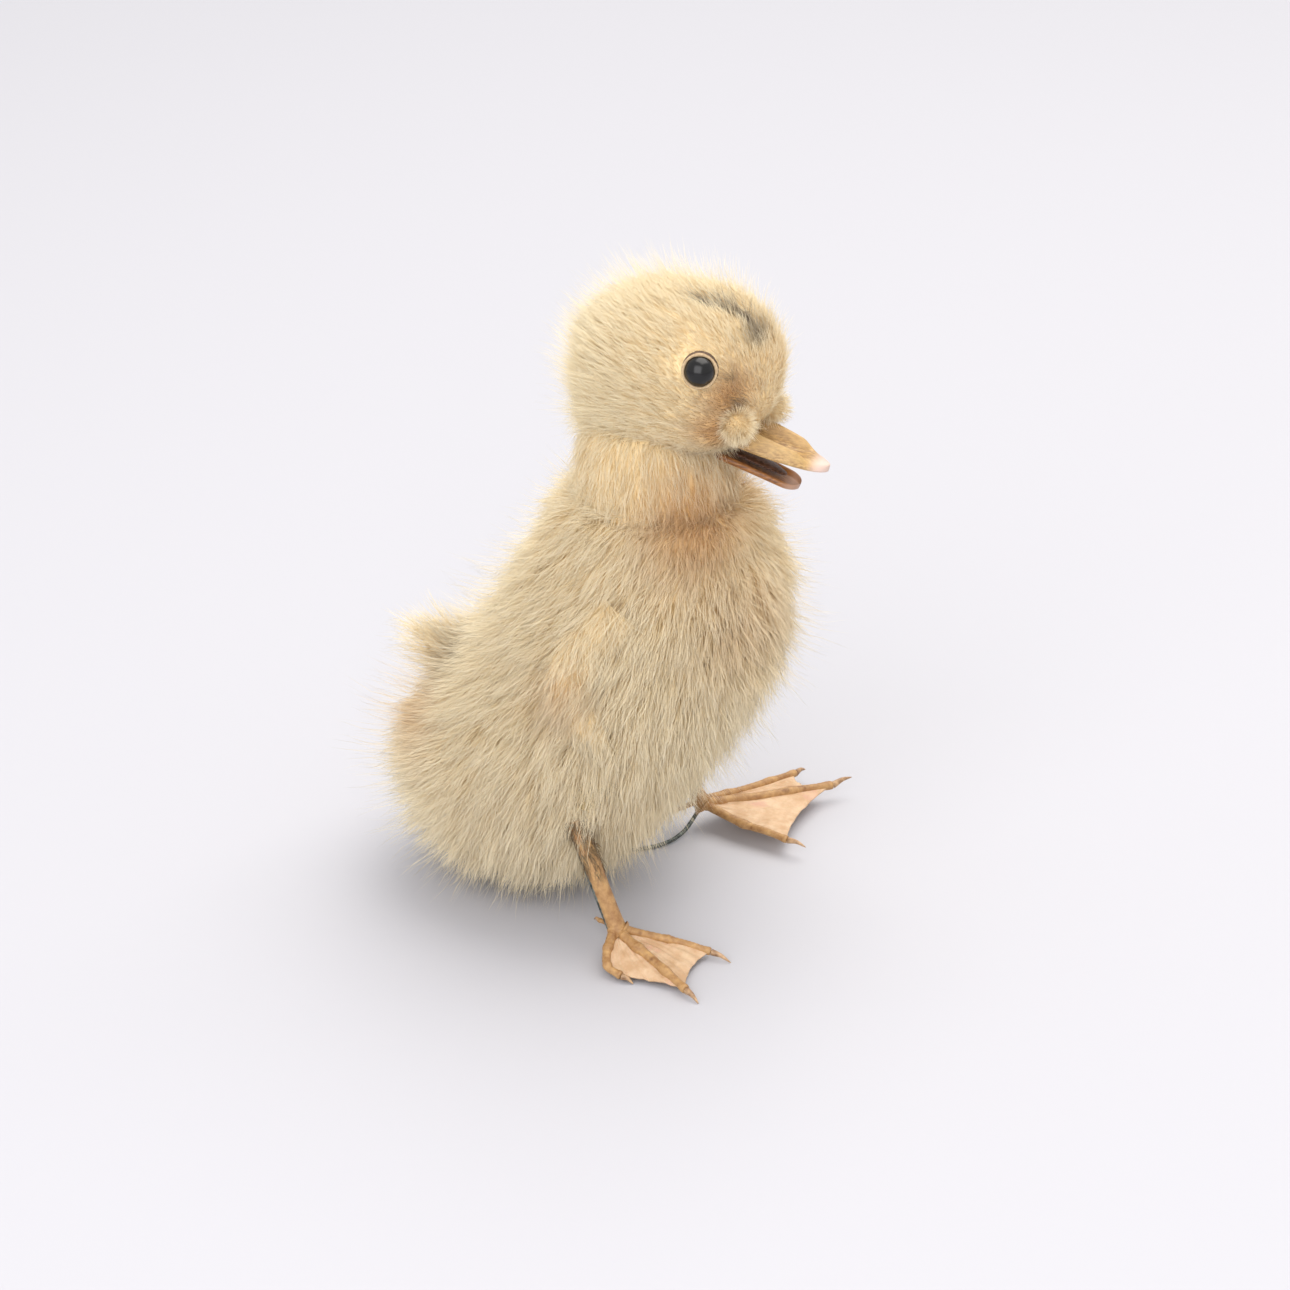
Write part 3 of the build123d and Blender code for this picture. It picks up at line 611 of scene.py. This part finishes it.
# %% Down materials
def down_material(name, root_colour, tip_colour, along=True):
    """Down: tan in its depth and cream at the tip, with the stains of its place."""
    made = bpy.data.materials.new(name)
    made.use_nodes = True
    tree = made.node_tree
    shader = tree.nodes["Principled BSDF"]

    def number(key):
        return node(tree, "ShaderNodeAttribute", attribute_name=key).outputs["Fac"]

    def mix(factor, a, b):
        return node(tree, "ShaderNodeMix", {"Factor": factor, "A": a, "B": b},
                    data_type="RGBA").outputs["Result"]

    if along:
        rise = node(tree, "ShaderNodeMapRange", {"Value": number("share"), "From Max": 0.55})
        base = mix(rise.outputs["Result"], linear(root_colour), linear(tip_colour))
        base = mix(node(tree, "ShaderNodeMath", {0: number("tint"), 1: 0.30}, operation="MULTIPLY"
                        ).outputs["Value"], base, linear("#F4DCA4"))
    else:
        place = node(tree, "ShaderNodeTexCoord").outputs["Object"]
        lumps = node(tree, "ShaderNodeTexNoise", {"Vector": place, "Scale": 1 / (2.4 * MM),
                                                  "Detail": 6.0, "Roughness": 0.7})
        base = mix(lumps.outputs["Fac"], linear(root_colour), linear(tip_colour))
        bump = node(tree, "ShaderNodeBump", {"Height": lumps.outputs["Fac"], "Distance": 0.4 * MM,
                                             "Strength": 0.8})
        tree.links.new(bump.outputs["Normal"], shader.inputs["Normal"])
    stained = mix(node(tree, "ShaderNodeMath", {0: number("stain"), 1: 0.72}, operation="MULTIPLY"
                       ).outputs["Value"], base, linear("#D39A52"))
    darkened = mix(node(tree, "ShaderNodeMath", {0: number("dark"), 1: 0.9}, operation="MULTIPLY"
                        ).outputs["Value"], stained, linear("#3A2428"))
    tree.links.new(darkened, shader.inputs["Base Color"])
    shader.inputs["Roughness"].default_value = 0.72
    shader.inputs["Sheen Weight"].default_value = 0.08
    return made


# Keratin down: silky, light passes between the strands and lifts the tips to cream.
strand_down = down_material("duckling_down_strands", "#FDE0A6", "#FFF2D4")
head_down = down_material("short_head_down_strands", "#FADDA6", "#FFF2D2")
under_down = down_material("felted_under_down", "#F3D294", "#FFEFC6", along=False)
for skin in [torso_skin, head_skin, neck_skin, tail_skin, *wing_skins.values()]:
    skin.data.materials.append(under_down)

# %% Plant the down
def plant(skin, name, seed, density, material, thickness=0.09, curl=0.3, wisp=2.2, gather=0.55):
    """Down on a skin as a plain mesh; density is strands to a square millimetre."""
    modifier = skin.modifiers.new("down", "NODES")
    modifier.node_group = down_tree
    values = {"Strand": strand, "Density": density / MM ** 2, "Seed": seed, "Thickness": thickness * MM,
              "Curl": curl, "Wisp": wisp * MM, "Gather": gather, "Stuff": material}
    for socket in down_tree.interface.items_tree:
        if socket.in_out == "INPUT" and socket.name in values:
            modifier[socket.identifier] = values[socket.name]
    graph = bpy.context.evaluated_depsgraph_get()
    mesh = bpy.data.meshes.new_from_object(skin.evaluated_get(graph), preserve_all_data_layers=True,
                                           depsgraph=graph)
    skin.modifiers.remove(modifier)
    made = bpy.data.objects.new(name, mesh)
    mesh.name = name
    bpy.context.scene.collection.objects.link(made)
    points = points_of(made)
    points[:, 2] = np.maximum(points[:, 2], 0.25 * MM)
    mesh.vertices.foreach_set("co", points.ravel())
    lay_out_strands(made)
    for spare in ("to_wisp", "wisp_turn", "outward", "grown", "flow", "grow_length", "lift", "cover"):
        if spare in mesh.attributes:
            mesh.attributes.remove(mesh.attributes[spare])
    print(name, "strands:", len(mesh.vertices) // STRAND_POINTS)
    return made


def lay_out_strands(down):
    """Gives each strand its own small cell of the piece's flat map, root at the bottom."""
    mesh = down.data
    count = len(mesh.vertices) // STRAND_POINTS
    across = max(int(math.ceil(math.sqrt(count))), 1)
    corner_points = np.empty(len(mesh.loops), int)
    mesh.loops.foreach_get("vertex_index", corner_points)
    strands = corner_points // STRAND_POINTS
    share_values = np.empty(len(mesh.vertices))
    mesh.attributes["share"].data.foreach_get("value", share_values)
    corner = (corner_points % STRAND_POINTS) % 3 / 2
    u = (strands % across + 0.15 + 0.7 * corner) / across
    v = (strands // across + 0.12 + 0.76 * share_values[corner_points]) / across
    chart = mesh.uv_layers.new(name="OFBake")
    chart.data.foreach_set("uv", np.stack([u, v], axis=1).ravel())


LAYERS = 6
torso_downs = [plant(torso_skin, f"torso_down_{i + 1}", 10 + i, 0.92, strand_down, thickness=0.055,
                     curl=0.12, wisp=3.0, gather=0.34) for i in range(LAYERS)]
neck_down = plant(neck_skin, "neck_down", 31, 3.4, strand_down, thickness=0.05, wisp=2.0, gather=0.3)
head_downs = [plant(head_skin, f"head_down_{i + 1}", 41 + i, 4.0, head_down, thickness=0.045, curl=0.10,
                    wisp=1.4, gather=0.3) for i in range(2)]
wing_downs = {side: plant(skin, f"{side}_wing_down", 51, 5.0, strand_down, thickness=0.055, curl=0.1,
                          gather=0.6) for side, skin in wing_skins.items()}
tail_down = plant(tail_skin, "tail_down", 61, 4.0, strand_down, thickness=0.055, curl=-0.05, gather=0.25)

# A negative curl turns strays outward, so the outline is soft.
torso_fringe = plant(torso_skin, "torso_stray_down", 81, 0.85, strand_down, thickness=0.036, curl=-0.55,
                     wisp=3.6, gather=-0.25)
head_fringe = plant(head_skin, "head_stray_down", 82, 2.0, head_down, thickness=0.030, curl=-0.60,
                    wisp=2.2, gather=-0.25)

# %% Puffs beside the bill
# The centre and radius of each puff's skin, in mm; the left one sits further forward.
PUFFS = {"right": ((17.0, -9.8, 101.2), 2.0), "left": ((18.6, 4.8, 99.0), 2.1)}
PUFF_STEPS = 26
puffs = {}
for side, (middle, size) in PUFFS.items():
    route = at([np.array(middle) - (size, 0, 0), middle, np.array(middle) + (size, 0, 0)])
    rings = path_rings(smooth_path(route, PUFF_STEPS),
                       lambda share, angle, size=size: size * max(1 - (2 * share - 1) ** 2, 0.01) ** 0.5,
                       around=PUFF_STEPS)
    skin = piece_of(f"{side}_puff_under_down", *ring_mesh(rings), under_down)
    groom(skin, unit(np.array((0.1, -0.6 if side == "right" else 0.6, -0.4))), 2.3, 1.5, 1.0,
          marks=0.08 if side == "right" else 0.4)
    puffs[side] = (skin, plant(skin, f"{side}_puff_down", 91, 26.0, strand_down, thickness=0.04, curl=-0.1,
                               wisp=1.0, gather=0.2))
print("puff pieces:", 2 * len(puffs))

# %% [markdown]
# ## Dried bill
# The upper half is a shallow trough between two raised ridges that run into a smooth nail. The
# lower half is a spoon with a dark, wrinkled floor. Both are rings of a changing profile round a
# sloping line, because a box with rounded corners could not give the ridges or the thin lips.

# %% Bill material
def let_light_in(material, weight, depth):
    """Thin dried stuff glows a little; depth is how far red, green and blue go in, in metres."""
    shader = material.node_tree.nodes["Principled BSDF"]
    shader.inputs["Subsurface Weight"].default_value = weight
    shader.inputs["Subsurface Radius"].default_value = depth


def horn(name, ridge, hollow, tip, grain_mm=0.5, roughness=0.38):
    """Dried bill sheath: waxy horn whose colour follows the ridges and the tip."""
    made = natural(name, hollow, ridge, grain_mm, roughness, 0.05, (0.35, 1.6, 1.6))
    tree = made.node_tree
    shader = tree.nodes["Principled BSDF"]
    drift = shader.inputs["Base Color"].links[0].from_socket
    high = node(tree, "ShaderNodeAttribute", attribute_name="ridge").outputs["Fac"]
    far = node(tree, "ShaderNodeAttribute", attribute_name="far").outputs["Fac"]
    half = node(tree, "ShaderNodeMath", {0: high, 1: 0.75}, operation="MULTIPLY").outputs["Value"]
    body = node(tree, "ShaderNodeMix", {"Factor": half, "A": drift, "B": linear(ridge)},
                data_type="RGBA").outputs["Result"]
    ended = node(tree, "ShaderNodeMix", {"Factor": far, "A": body, "B": linear(tip)},
                 data_type="RGBA").outputs["Result"]
    tree.links.new(ended, shader.inputs["Base Color"])
    let_light_in(made, 0.12, (0.0012, 0.0007, 0.0004))
    return made


upper_horn = horn("dried_upper_bill_horn", "#CDA96E", "#8C6841", "#DCC0B2")
lower_horn = horn("dried_lower_bill_horn", "#A8713C", "#5E3A25", "#B08A72")
tongue_skin = natural("dried_tongue_skin", "#2E1B13", "#6A4531", 0.5, 0.4, 0.15, (0.5, 2, 2))


def step(value, low, high):
    """Zero below low, one above high, smooth between."""
    t = np.clip((np.asarray(value, float) - low) / (high - low), 0, 1)
    return t * t * (3 - 2 * t)


# %% Bill shapes
BILL_STATIONS, BILL_AROUND = 80, 56


def bill_half(name, root, slope_degrees, length, half_width, top, bottom, material, droop=0.0):
    """A bill half; top and bottom are heights in mm from station share and distance off centre."""
    slope = math.radians(slope_degrees)
    forward = np.array((math.cos(slope), 0, -math.sin(slope)))
    upward = np.array((math.sin(slope), 0, math.cos(slope)))
    rings, ridges, far = [], [], []
    for i in range(BILL_STATIONS):
        share = i / (BILL_STATIONS - 1)
        ring = []
        for j in range(BILL_AROUND):
            angle = 2 * math.pi * j / BILL_AROUND
            off = math.cos(angle)
            lip = (1 - off ** 6) ** 0.5
            high = top(share, abs(off)) if math.sin(angle) >= 0 else -bottom(share, abs(off))
            ring.append(root + forward * length * share + upward * (high * lip - droop * share ** 4)
                        + np.array((0, half_width(share) * off, 0)))
            ridges.append(math.exp(-((abs(off) - 0.72) / 0.2) ** 2) if math.sin(angle) >= -0.1 else 0.5)
            far.append(float(step(share, 0.80, 0.93)))
        rings.append(at(ring))
    made = piece_of(name, *ring_mesh(rings), material)
    keep(made, "ridge", ridges + [0.3, 0.3])
    keep(made, "far", far + [0.0, 1.0])
    return made


def round_end(share, full, start=0.86):
    """A half width that stays full, then closes in a rounded end."""
    if share <= start:
        return full
    t = (share - start) / (1 - start)
    return full * max(1 - t ** 2.2, 0.02) ** 0.5


def upper_top(share, off):
    ridge = 0.18 + 1.62 * math.exp(-((off - 0.72) / 0.2) ** 2) + 0.10 * (1 - off) + 0.10 * math.sin(21 * off)
    smooth = 1.0 * (1 - off ** 2) ** 0.5 + 0.1
    blend = float(step(share, 0.66, 0.86))
    return (2.1 - 1.15 * share) * (ridge * (1 - blend) + smooth * blend)


upper_bill = bill_half(
    "upper_bill_horn", np.array((12.2, 0, 95.7)), 14.0, 19.3,
    lambda share: round_end(share, 4.1 + 0.7 * math.sin(math.pi * min(share * 1.15, 1)) - 1.5 * share ** 3,
                            0.8),
    upper_top, lambda share, off: (0.9 - 0.45 * share) * (0.55 + 0.45 * off ** 2), upper_horn, 0.25)
lower_bill = bill_half(
    "lower_bill_horn", np.array((10.6, 0, 92.4)), 20.0, 16.0,
    lambda share: round_end(share, 3.9 - 0.7 * math.sin(math.pi * share) * 0.4 - 0.9 * share ** 2, 0.82),
    lambda share, off: 0.95 * step(off, 0.45, 0.9) - 0.12, lambda share, off: 0.95 - 0.35 * share,
    lower_horn)
tongue_random = np.random.default_rng(5)
tongue_noise = tongue_random.uniform(-1, 1, (60, 24))
tongue_route = smooth_path(at([(14.2, 0, 92.1), (18.5, 0, 90.6), (23.2, 0, 88.7)]), 60)
tongue_rings = path_rings(
    tongue_route, lambda share, angle: 1.9 * (1.03 - share ** 3) ** 0.5
    * (1 + 0.10 * tongue_noise[int(share * 59), int(angle * 3.8) % 24]), around=24, flat=0.26)
tongue = piece_of("wrinkled_tongue", *ring_mesh(tongue_rings), tongue_skin)
bill_x = points_of(upper_bill)[:, 0]
print("bill length, mm:", round((bill_x.max() - bill_x.min()) / MM, 1))

# %% [markdown]
# ## Feet
# A duckling's foot is three long toes in a web and one small hind toe. The toes swell at each
# joint and carry rows of small plates. The webs are thin dried skin with drawn-in margins and
# fine creases that run along the toes. Rings give the toes, and a grid between two toe lines,
# given a thickness, gives each web.

# %% Foot materials
toe_skin = natural("dried_scaled_toe_skin", "#8A5D35", "#C89F69", 1.6, 0.5, 0.08, (1, 1, 1),
                   contrast=(0.25, 0.7), spots=("#7A5230", 2.6, 0.30))
web_skin = natural("dried_web_membrane", "#C49F79", "#DBBD9B", 2.6, 0.6, 0.06, (1, 1, 1),
                   spots=("#CFA08A", 5.0, 0.34))
let_light_in(web_skin, 0.15, (0.001, 0.0005, 0.0003))
claw_horn = natural("dried_claw_horn", "#7A5538", "#C9A57C", 1.4, 0.35, 0.02)

# %% Foot routes
# From the root of each toe to the root of its claw, then the claw's tip, in mm from the floor point.
TOES = {
    "right": {
        "inner": ([(1.2, -24.5, 4.9), (3.6, -23.8, 4.2), (8.5, -22.3, 3.0), (12.8, -21.8, 2.4),
                   (16.8, -21.4, 1.5)], (20.8, -21.8, 0.2)),
        "middle": ([(0.8, -25.4, 4.8), (2.6, -26.6, 4.2), (7.2, -29.0, 3.2), (12.6, -32.4, 2.2),
                    (16.6, -35.0, 1.4)], (19.6, -36.9, 0.2)),
        "outer": ([(-0.4, -25.6, 4.9), (-0.3, -27.6, 4.2), (0.0, -30.6, 3.0), (1.2, -33.2, 2.0),
                   (4.0, -34.2, 1.3)], (6.4, -34.4, 0.2)),
        "hind": ([(-1.4, -23.8, 5.3), (-2.8, -22.9, 4.7), (-4.6, -21.6, 4.1)], (-5.9, -20.9, 3.7)),
    },
    "left": {
        "inner": ([(1.2, 24.3, 4.9), (3.2, 23.6, 4.5), (9.0, 21.6, 3.8), (14.4, 20.3, 3.7),
                   (18.8, 19.4, 3.2)], (22.7, 18.8, 2.6)),
        "middle": ([(0.9, 25.3, 4.9), (2.8, 26.9, 4.7), (8.4, 31.5, 4.2), (15.4, 37.6, 3.8),
                    (20.9, 42.4, 3.4)], (24.0, 45.4, 4.2)),
        "outer": ([(-0.1, 25.8, 4.9), (1.0, 28.2, 4.5), (4.8, 33.2, 4.0), (9.4, 40.4, 3.4),
                   (12.4, 45.6, 2.9)], (13.6, 48.6, 2.4)),
        "hind": ([(-1.4, 23.8, 5.3), (-2.8, 22.9, 4.7), (-4.6, 21.6, 4.1)], (-5.9, 20.9, 3.7)),
    },
}
TOE_RADIUS = {"inner": 0.95, "middle": 1.08, "outer": 1.0, "hind": 0.6}
TOE_KNUCKLES = {"inner": (0.02, 0.52, 0.97), "middle": (0.02, 0.4, 0.7, 0.97),
                "outer": (0.02, 0.4, 0.72, 0.97), "hind": (0.05, 0.95)}
CLAW_SHARE = 0.56                    # a claw's root against its toe's radius
PLATE_MM = 0.75                      # one scale plate along a toe, a little larger than life, so it shows


def toe_radius(toe, length_mm):
    """Plates on top, swellings at the joints, and a taper to the claw."""
    plates = max(round(length_mm / PLATE_MM), 2)

    def radius(share, angle):
        swell = sum(0.24 * math.exp(-((share - knuckle) / 0.045) ** 2) for knuckle in TOE_KNUCKLES[toe])
        crest = abs(math.sin(math.pi * plates * share)) ** 0.6
        upper = 0.5 + 0.5 * math.sin(angle)
        return TOE_RADIUS[toe] * (1 - 0.34 * share) * (1 + swell) * (0.94 + 0.10 * crest * upper)
    return radius


def web_between(path_a, path_b, bay, seed):
    """Points and faces of a thin creased membrane between two toe lines."""
    along, across = 46, 40
    random = np.random.default_rng(seed)
    phase = random.uniform(0, 2 * math.pi, 4)
    centre = np.zeros((along, across, 3))
    for j in range(across):
        b = j / (across - 1)
        reach = 1 - bay * (4 * b * (1 - b)) ** 0.75
        for i in range(along):
            a = 0.05 + (reach - 0.05) * i / (along - 1)
            place = a * (len(path_a) - 1)
            k = min(int(place), len(path_a) - 2)
            left = path_a[k] + (path_a[k + 1] - path_a[k]) * (place - k)
            right = path_b[k] + (path_b[k + 1] - path_b[k]) * (place - k)
            crease = (0.10 * math.sin(b * 23 + phase[0] + 2.0 * a)
                      + 0.07 * math.sin(b * 41 + phase[1] - 5 * a)
                      + 0.09 * math.sin(a * 17 + phase[2]) * math.sin(b * 9 + phase[3]))
            sag = -0.55 * math.sin(math.pi * b) * a
            centre[i, j] = left * (1 - b) + right * b
            centre[i, j, 2] += (crease * min(1, 8 * b * (1 - b)) * min(1, 3 * a) + sag) * MM
    half = np.array((0, 0, 0.13 * MM))
    points = np.concatenate([(centre + half).reshape(-1, 3), (centre - half).reshape(-1, 3)])
    points[:, 2] = np.maximum(points[:, 2], 0.1 * MM)
    layer = along * across
    faces = []
    for i in range(along - 1):
        for j in range(across - 1):
            a, b, c, d = i * across + j, i * across + j + 1, (i + 1) * across + j + 1, (i + 1) * across + j
            faces += [(a, b, c, d), (a + layer, d + layer, c + layer, b + layer)]
    rim = ([(0, j) for j in range(across)] + [(i, across - 1) for i in range(1, along)]
           + [(along - 1, j) for j in range(across - 2, -1, -1)] + [(i, 0) for i in range(along - 2, 0, -1)])
    for (i, j), (k, m) in zip(rim, rim[1:] + rim[:1]):
        a, b = i * across + j, k * across + m
        faces.append((a, a + layer, b + layer, b))
    return points, faces


# %% Feet and shanks
HOCK_MIDDLE, ANKLE_MIDDLE = np.array((-9.4, 20.8, 24.0)), np.array((0, 24.7, 5.2))
DOWN_ENDS_AT = {"left": 7.5, "right": 14.5}      # the height at which the shank comes out bare
SCUTES = 24                                      # plates down the front of a shank


def shank_radius(share, angle):
    """Narrow below the hock, swollen at the ankle, with plates in front."""
    limb = (1.95 - 0.9 * math.sin(math.pi * min(share * 1.1, 1)) * 0.45
            + 0.55 * math.exp(-((share - 0.90) / 0.09) ** 2))
    plate = 0.96 + 0.07 * abs(math.sin(math.pi * SCUTES * share)) ** 0.6 * max(math.cos(angle + 1.57), 0)
    return limb * plate * (1.0 if share < 0.97 else 0.85)


shanks = {}
for side, sign in (("left", 1), ("right", -1)):
    mirror = np.array((1, sign, 1))
    hock, ankle = HOCK_MIDDLE * mirror, ANKLE_MIDDLE * mirror
    lines = {}
    for toe, (route, _) in TOES[side].items():
        path = smooth_path(at(route), 96)
        lines[toe] = path
        length = np.linalg.norm(np.diff(path, axis=0), axis=1).sum() / MM
        toe_piece = piece_of(f"{side}_{toe}_toe_scaled", *ring_mesh(path_rings(
            path, toe_radius(toe, length), around=18)), toe_skin)
        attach(toe_piece, f"{side}_leg")
        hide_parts(f"{side}_{toe}_toe")
    claw_parts = []
    for toe, (route, claw_tip) in TOES[side].items():
        end, tip = at(route[-1]), at(claw_tip)
        start = end + unit(end - at(route[-2])) * 0.2 * MM
        middle = (start + tip) / 2 + np.array((0, 0, 0.35 * MM))
        claw_size = TOE_RADIUS[toe] * CLAW_SHARE
        claw_parts.append(ring_mesh(path_rings(
            smooth_path([start, middle, tip], 24),
            lambda share, angle, size=claw_size: size * (1 - share) ** 0.8 + 0.06, around=14, flat=1.1)))
    claws = piece_of(f"{side}_claws_horn", *joined(claw_parts), claw_horn)
    webs = piece_of(f"{side}_web_membranes", *joined([
        web_between(lines["inner"], lines["middle"], 0.10, 3),
        web_between(lines["middle"], lines["outer"], 0.12, 4)]), web_skin)

    shank_path = smooth_path(at([hock, (hock * 0.62 + ankle * 0.38), (hock * 0.25 + ankle * 0.75), ankle,
                                 ankle + np.array((0.7, 0.1 * sign, -0.9))]), 110)
    shank = piece_of(f"{side}_shank_scaled", *ring_mesh(path_rings(
        shank_path, shank_radius, around=28, up=(1, 0, 0.3))), toe_skin)
    shank_mm = (points_of(shank) - floor_point) / MM
    top_share = np.clip((shank_mm[:, 2] - DOWN_ENDS_AT[side]) / 4, 0, 1)
    groom(shank, unit(ankle - hock), 3.0, 0.22, top_share)
    shanks[side] = shank
    for piece, slot in ((shank, "scaled_skin"), (claws, "claw_horn"), (webs, "web_skin")):
        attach(piece, f"{side}_leg")
    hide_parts(f"{side}_shank")
    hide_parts(f"{side}_claws")
    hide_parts(f"{side}_web")
    print(side, "foot pieces:", len(lines) + 3)

# Sparse stubble where the down ends on the shank; its dark brown is painted shade cast by the body above.
painted_shade_stubble = down_material("shank_stubble_painted_shade", "#3F291C", "#6F5236")
for side, shank in shanks.items():
    tuft = plant(shank, f"{side}_shank_down", 71, 9.0, painted_shade_stubble, thickness=0.05, gather=0.5,
                 wisp=1.2)
    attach(tuft, f"{side}_leg")

# %% [markdown]
# ## Eyelids
# Each glass eye sits in a rim of pale dried skin. It is a closed ring with an uneven, slightly
# crinkled roll, laid in the plane of the frame's own lid.

# %% Eyelids
LID_RING, LID_ROLL, LID_OUT = 2.86, 0.36, 0.60   # ring radius, roll radius and height over the eye's middle
for side, sign in (("left", 1), ("right", -1)):
    outward = unit(np.array((0.30, sign, 0.28)))
    across = unit(np.cross(outward, (0, 0, 1)))
    upward = np.cross(across, outward)
    middle = at(EYE_MIDDLE * np.array((1, sign, 1)) + outward * LID_OUT)
    around, roll = 96, 14
    crinkle = np.random.default_rng(9).uniform(-1, 1, around)
    points, faces = [], []
    for i in range(around):
        angle = 2 * math.pi * i / around
        away = across * math.cos(angle) + upward * math.sin(angle)
        size = LID_ROLL + 0.05 * math.sin(5 * angle) + 0.03 * crinkle[i]
        for j in range(roll):
            turn = 2 * math.pi * j / roll
            points.append(middle + (away * (LID_RING + 0.8 * size * math.cos(turn))
                                    + outward * size * math.sin(turn)) * MM)
            faces.append((i * roll + j, i * roll + (j + 1) % roll,
                          ((i + 1) % around) * roll + (j + 1) % roll, ((i + 1) % around) * roll + j))
    lid = piece_of(f"{side}_crinkled_eyelid", points, faces, stuffs["dried_skin"])
    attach(lid, "head")
    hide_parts(f"{side}_eyelid")

for piece, slot, nodes in ((upper_bill, "dried_bill", ("upper_bill", "bill_nail")),
                           (lower_bill, "dried_bill", ("lower_bill",)),
                           (tongue, "dried_tongue", ("tongue",))):
    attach(piece, "head")
    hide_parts(*nodes)
print("eyelids and bill ride on the head")

# %% Ride
for piece in [torso_skin, *torso_downs, torso_fringe, tail_skin, tail_down, *wing_skins.values(),
              *wing_downs.values()]:
    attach(piece, "torso")
for piece in [neck_skin, neck_down]:
    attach(piece, "neck")
for piece in [head_skin, *head_downs, head_fringe, *puffs["left"], *puffs["right"]]:
    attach(piece, "head")
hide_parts("body_skin")
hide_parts("neck_skin")
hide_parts("head_skin", "throat_patch")
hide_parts("tail_tuft")
for side, skin in wing_skins.items():
    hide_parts(f"{side}_wing")

# %% Frame pieces that stay
for name, slot in [(row["node"], row["material_slot"]) for row in frame["record"]["subparts"]]:
    part = bpy.data.objects[name]
    if slot in stuffs:
        part.data.materials.clear()
        part.data.materials.append(stuffs[slot])
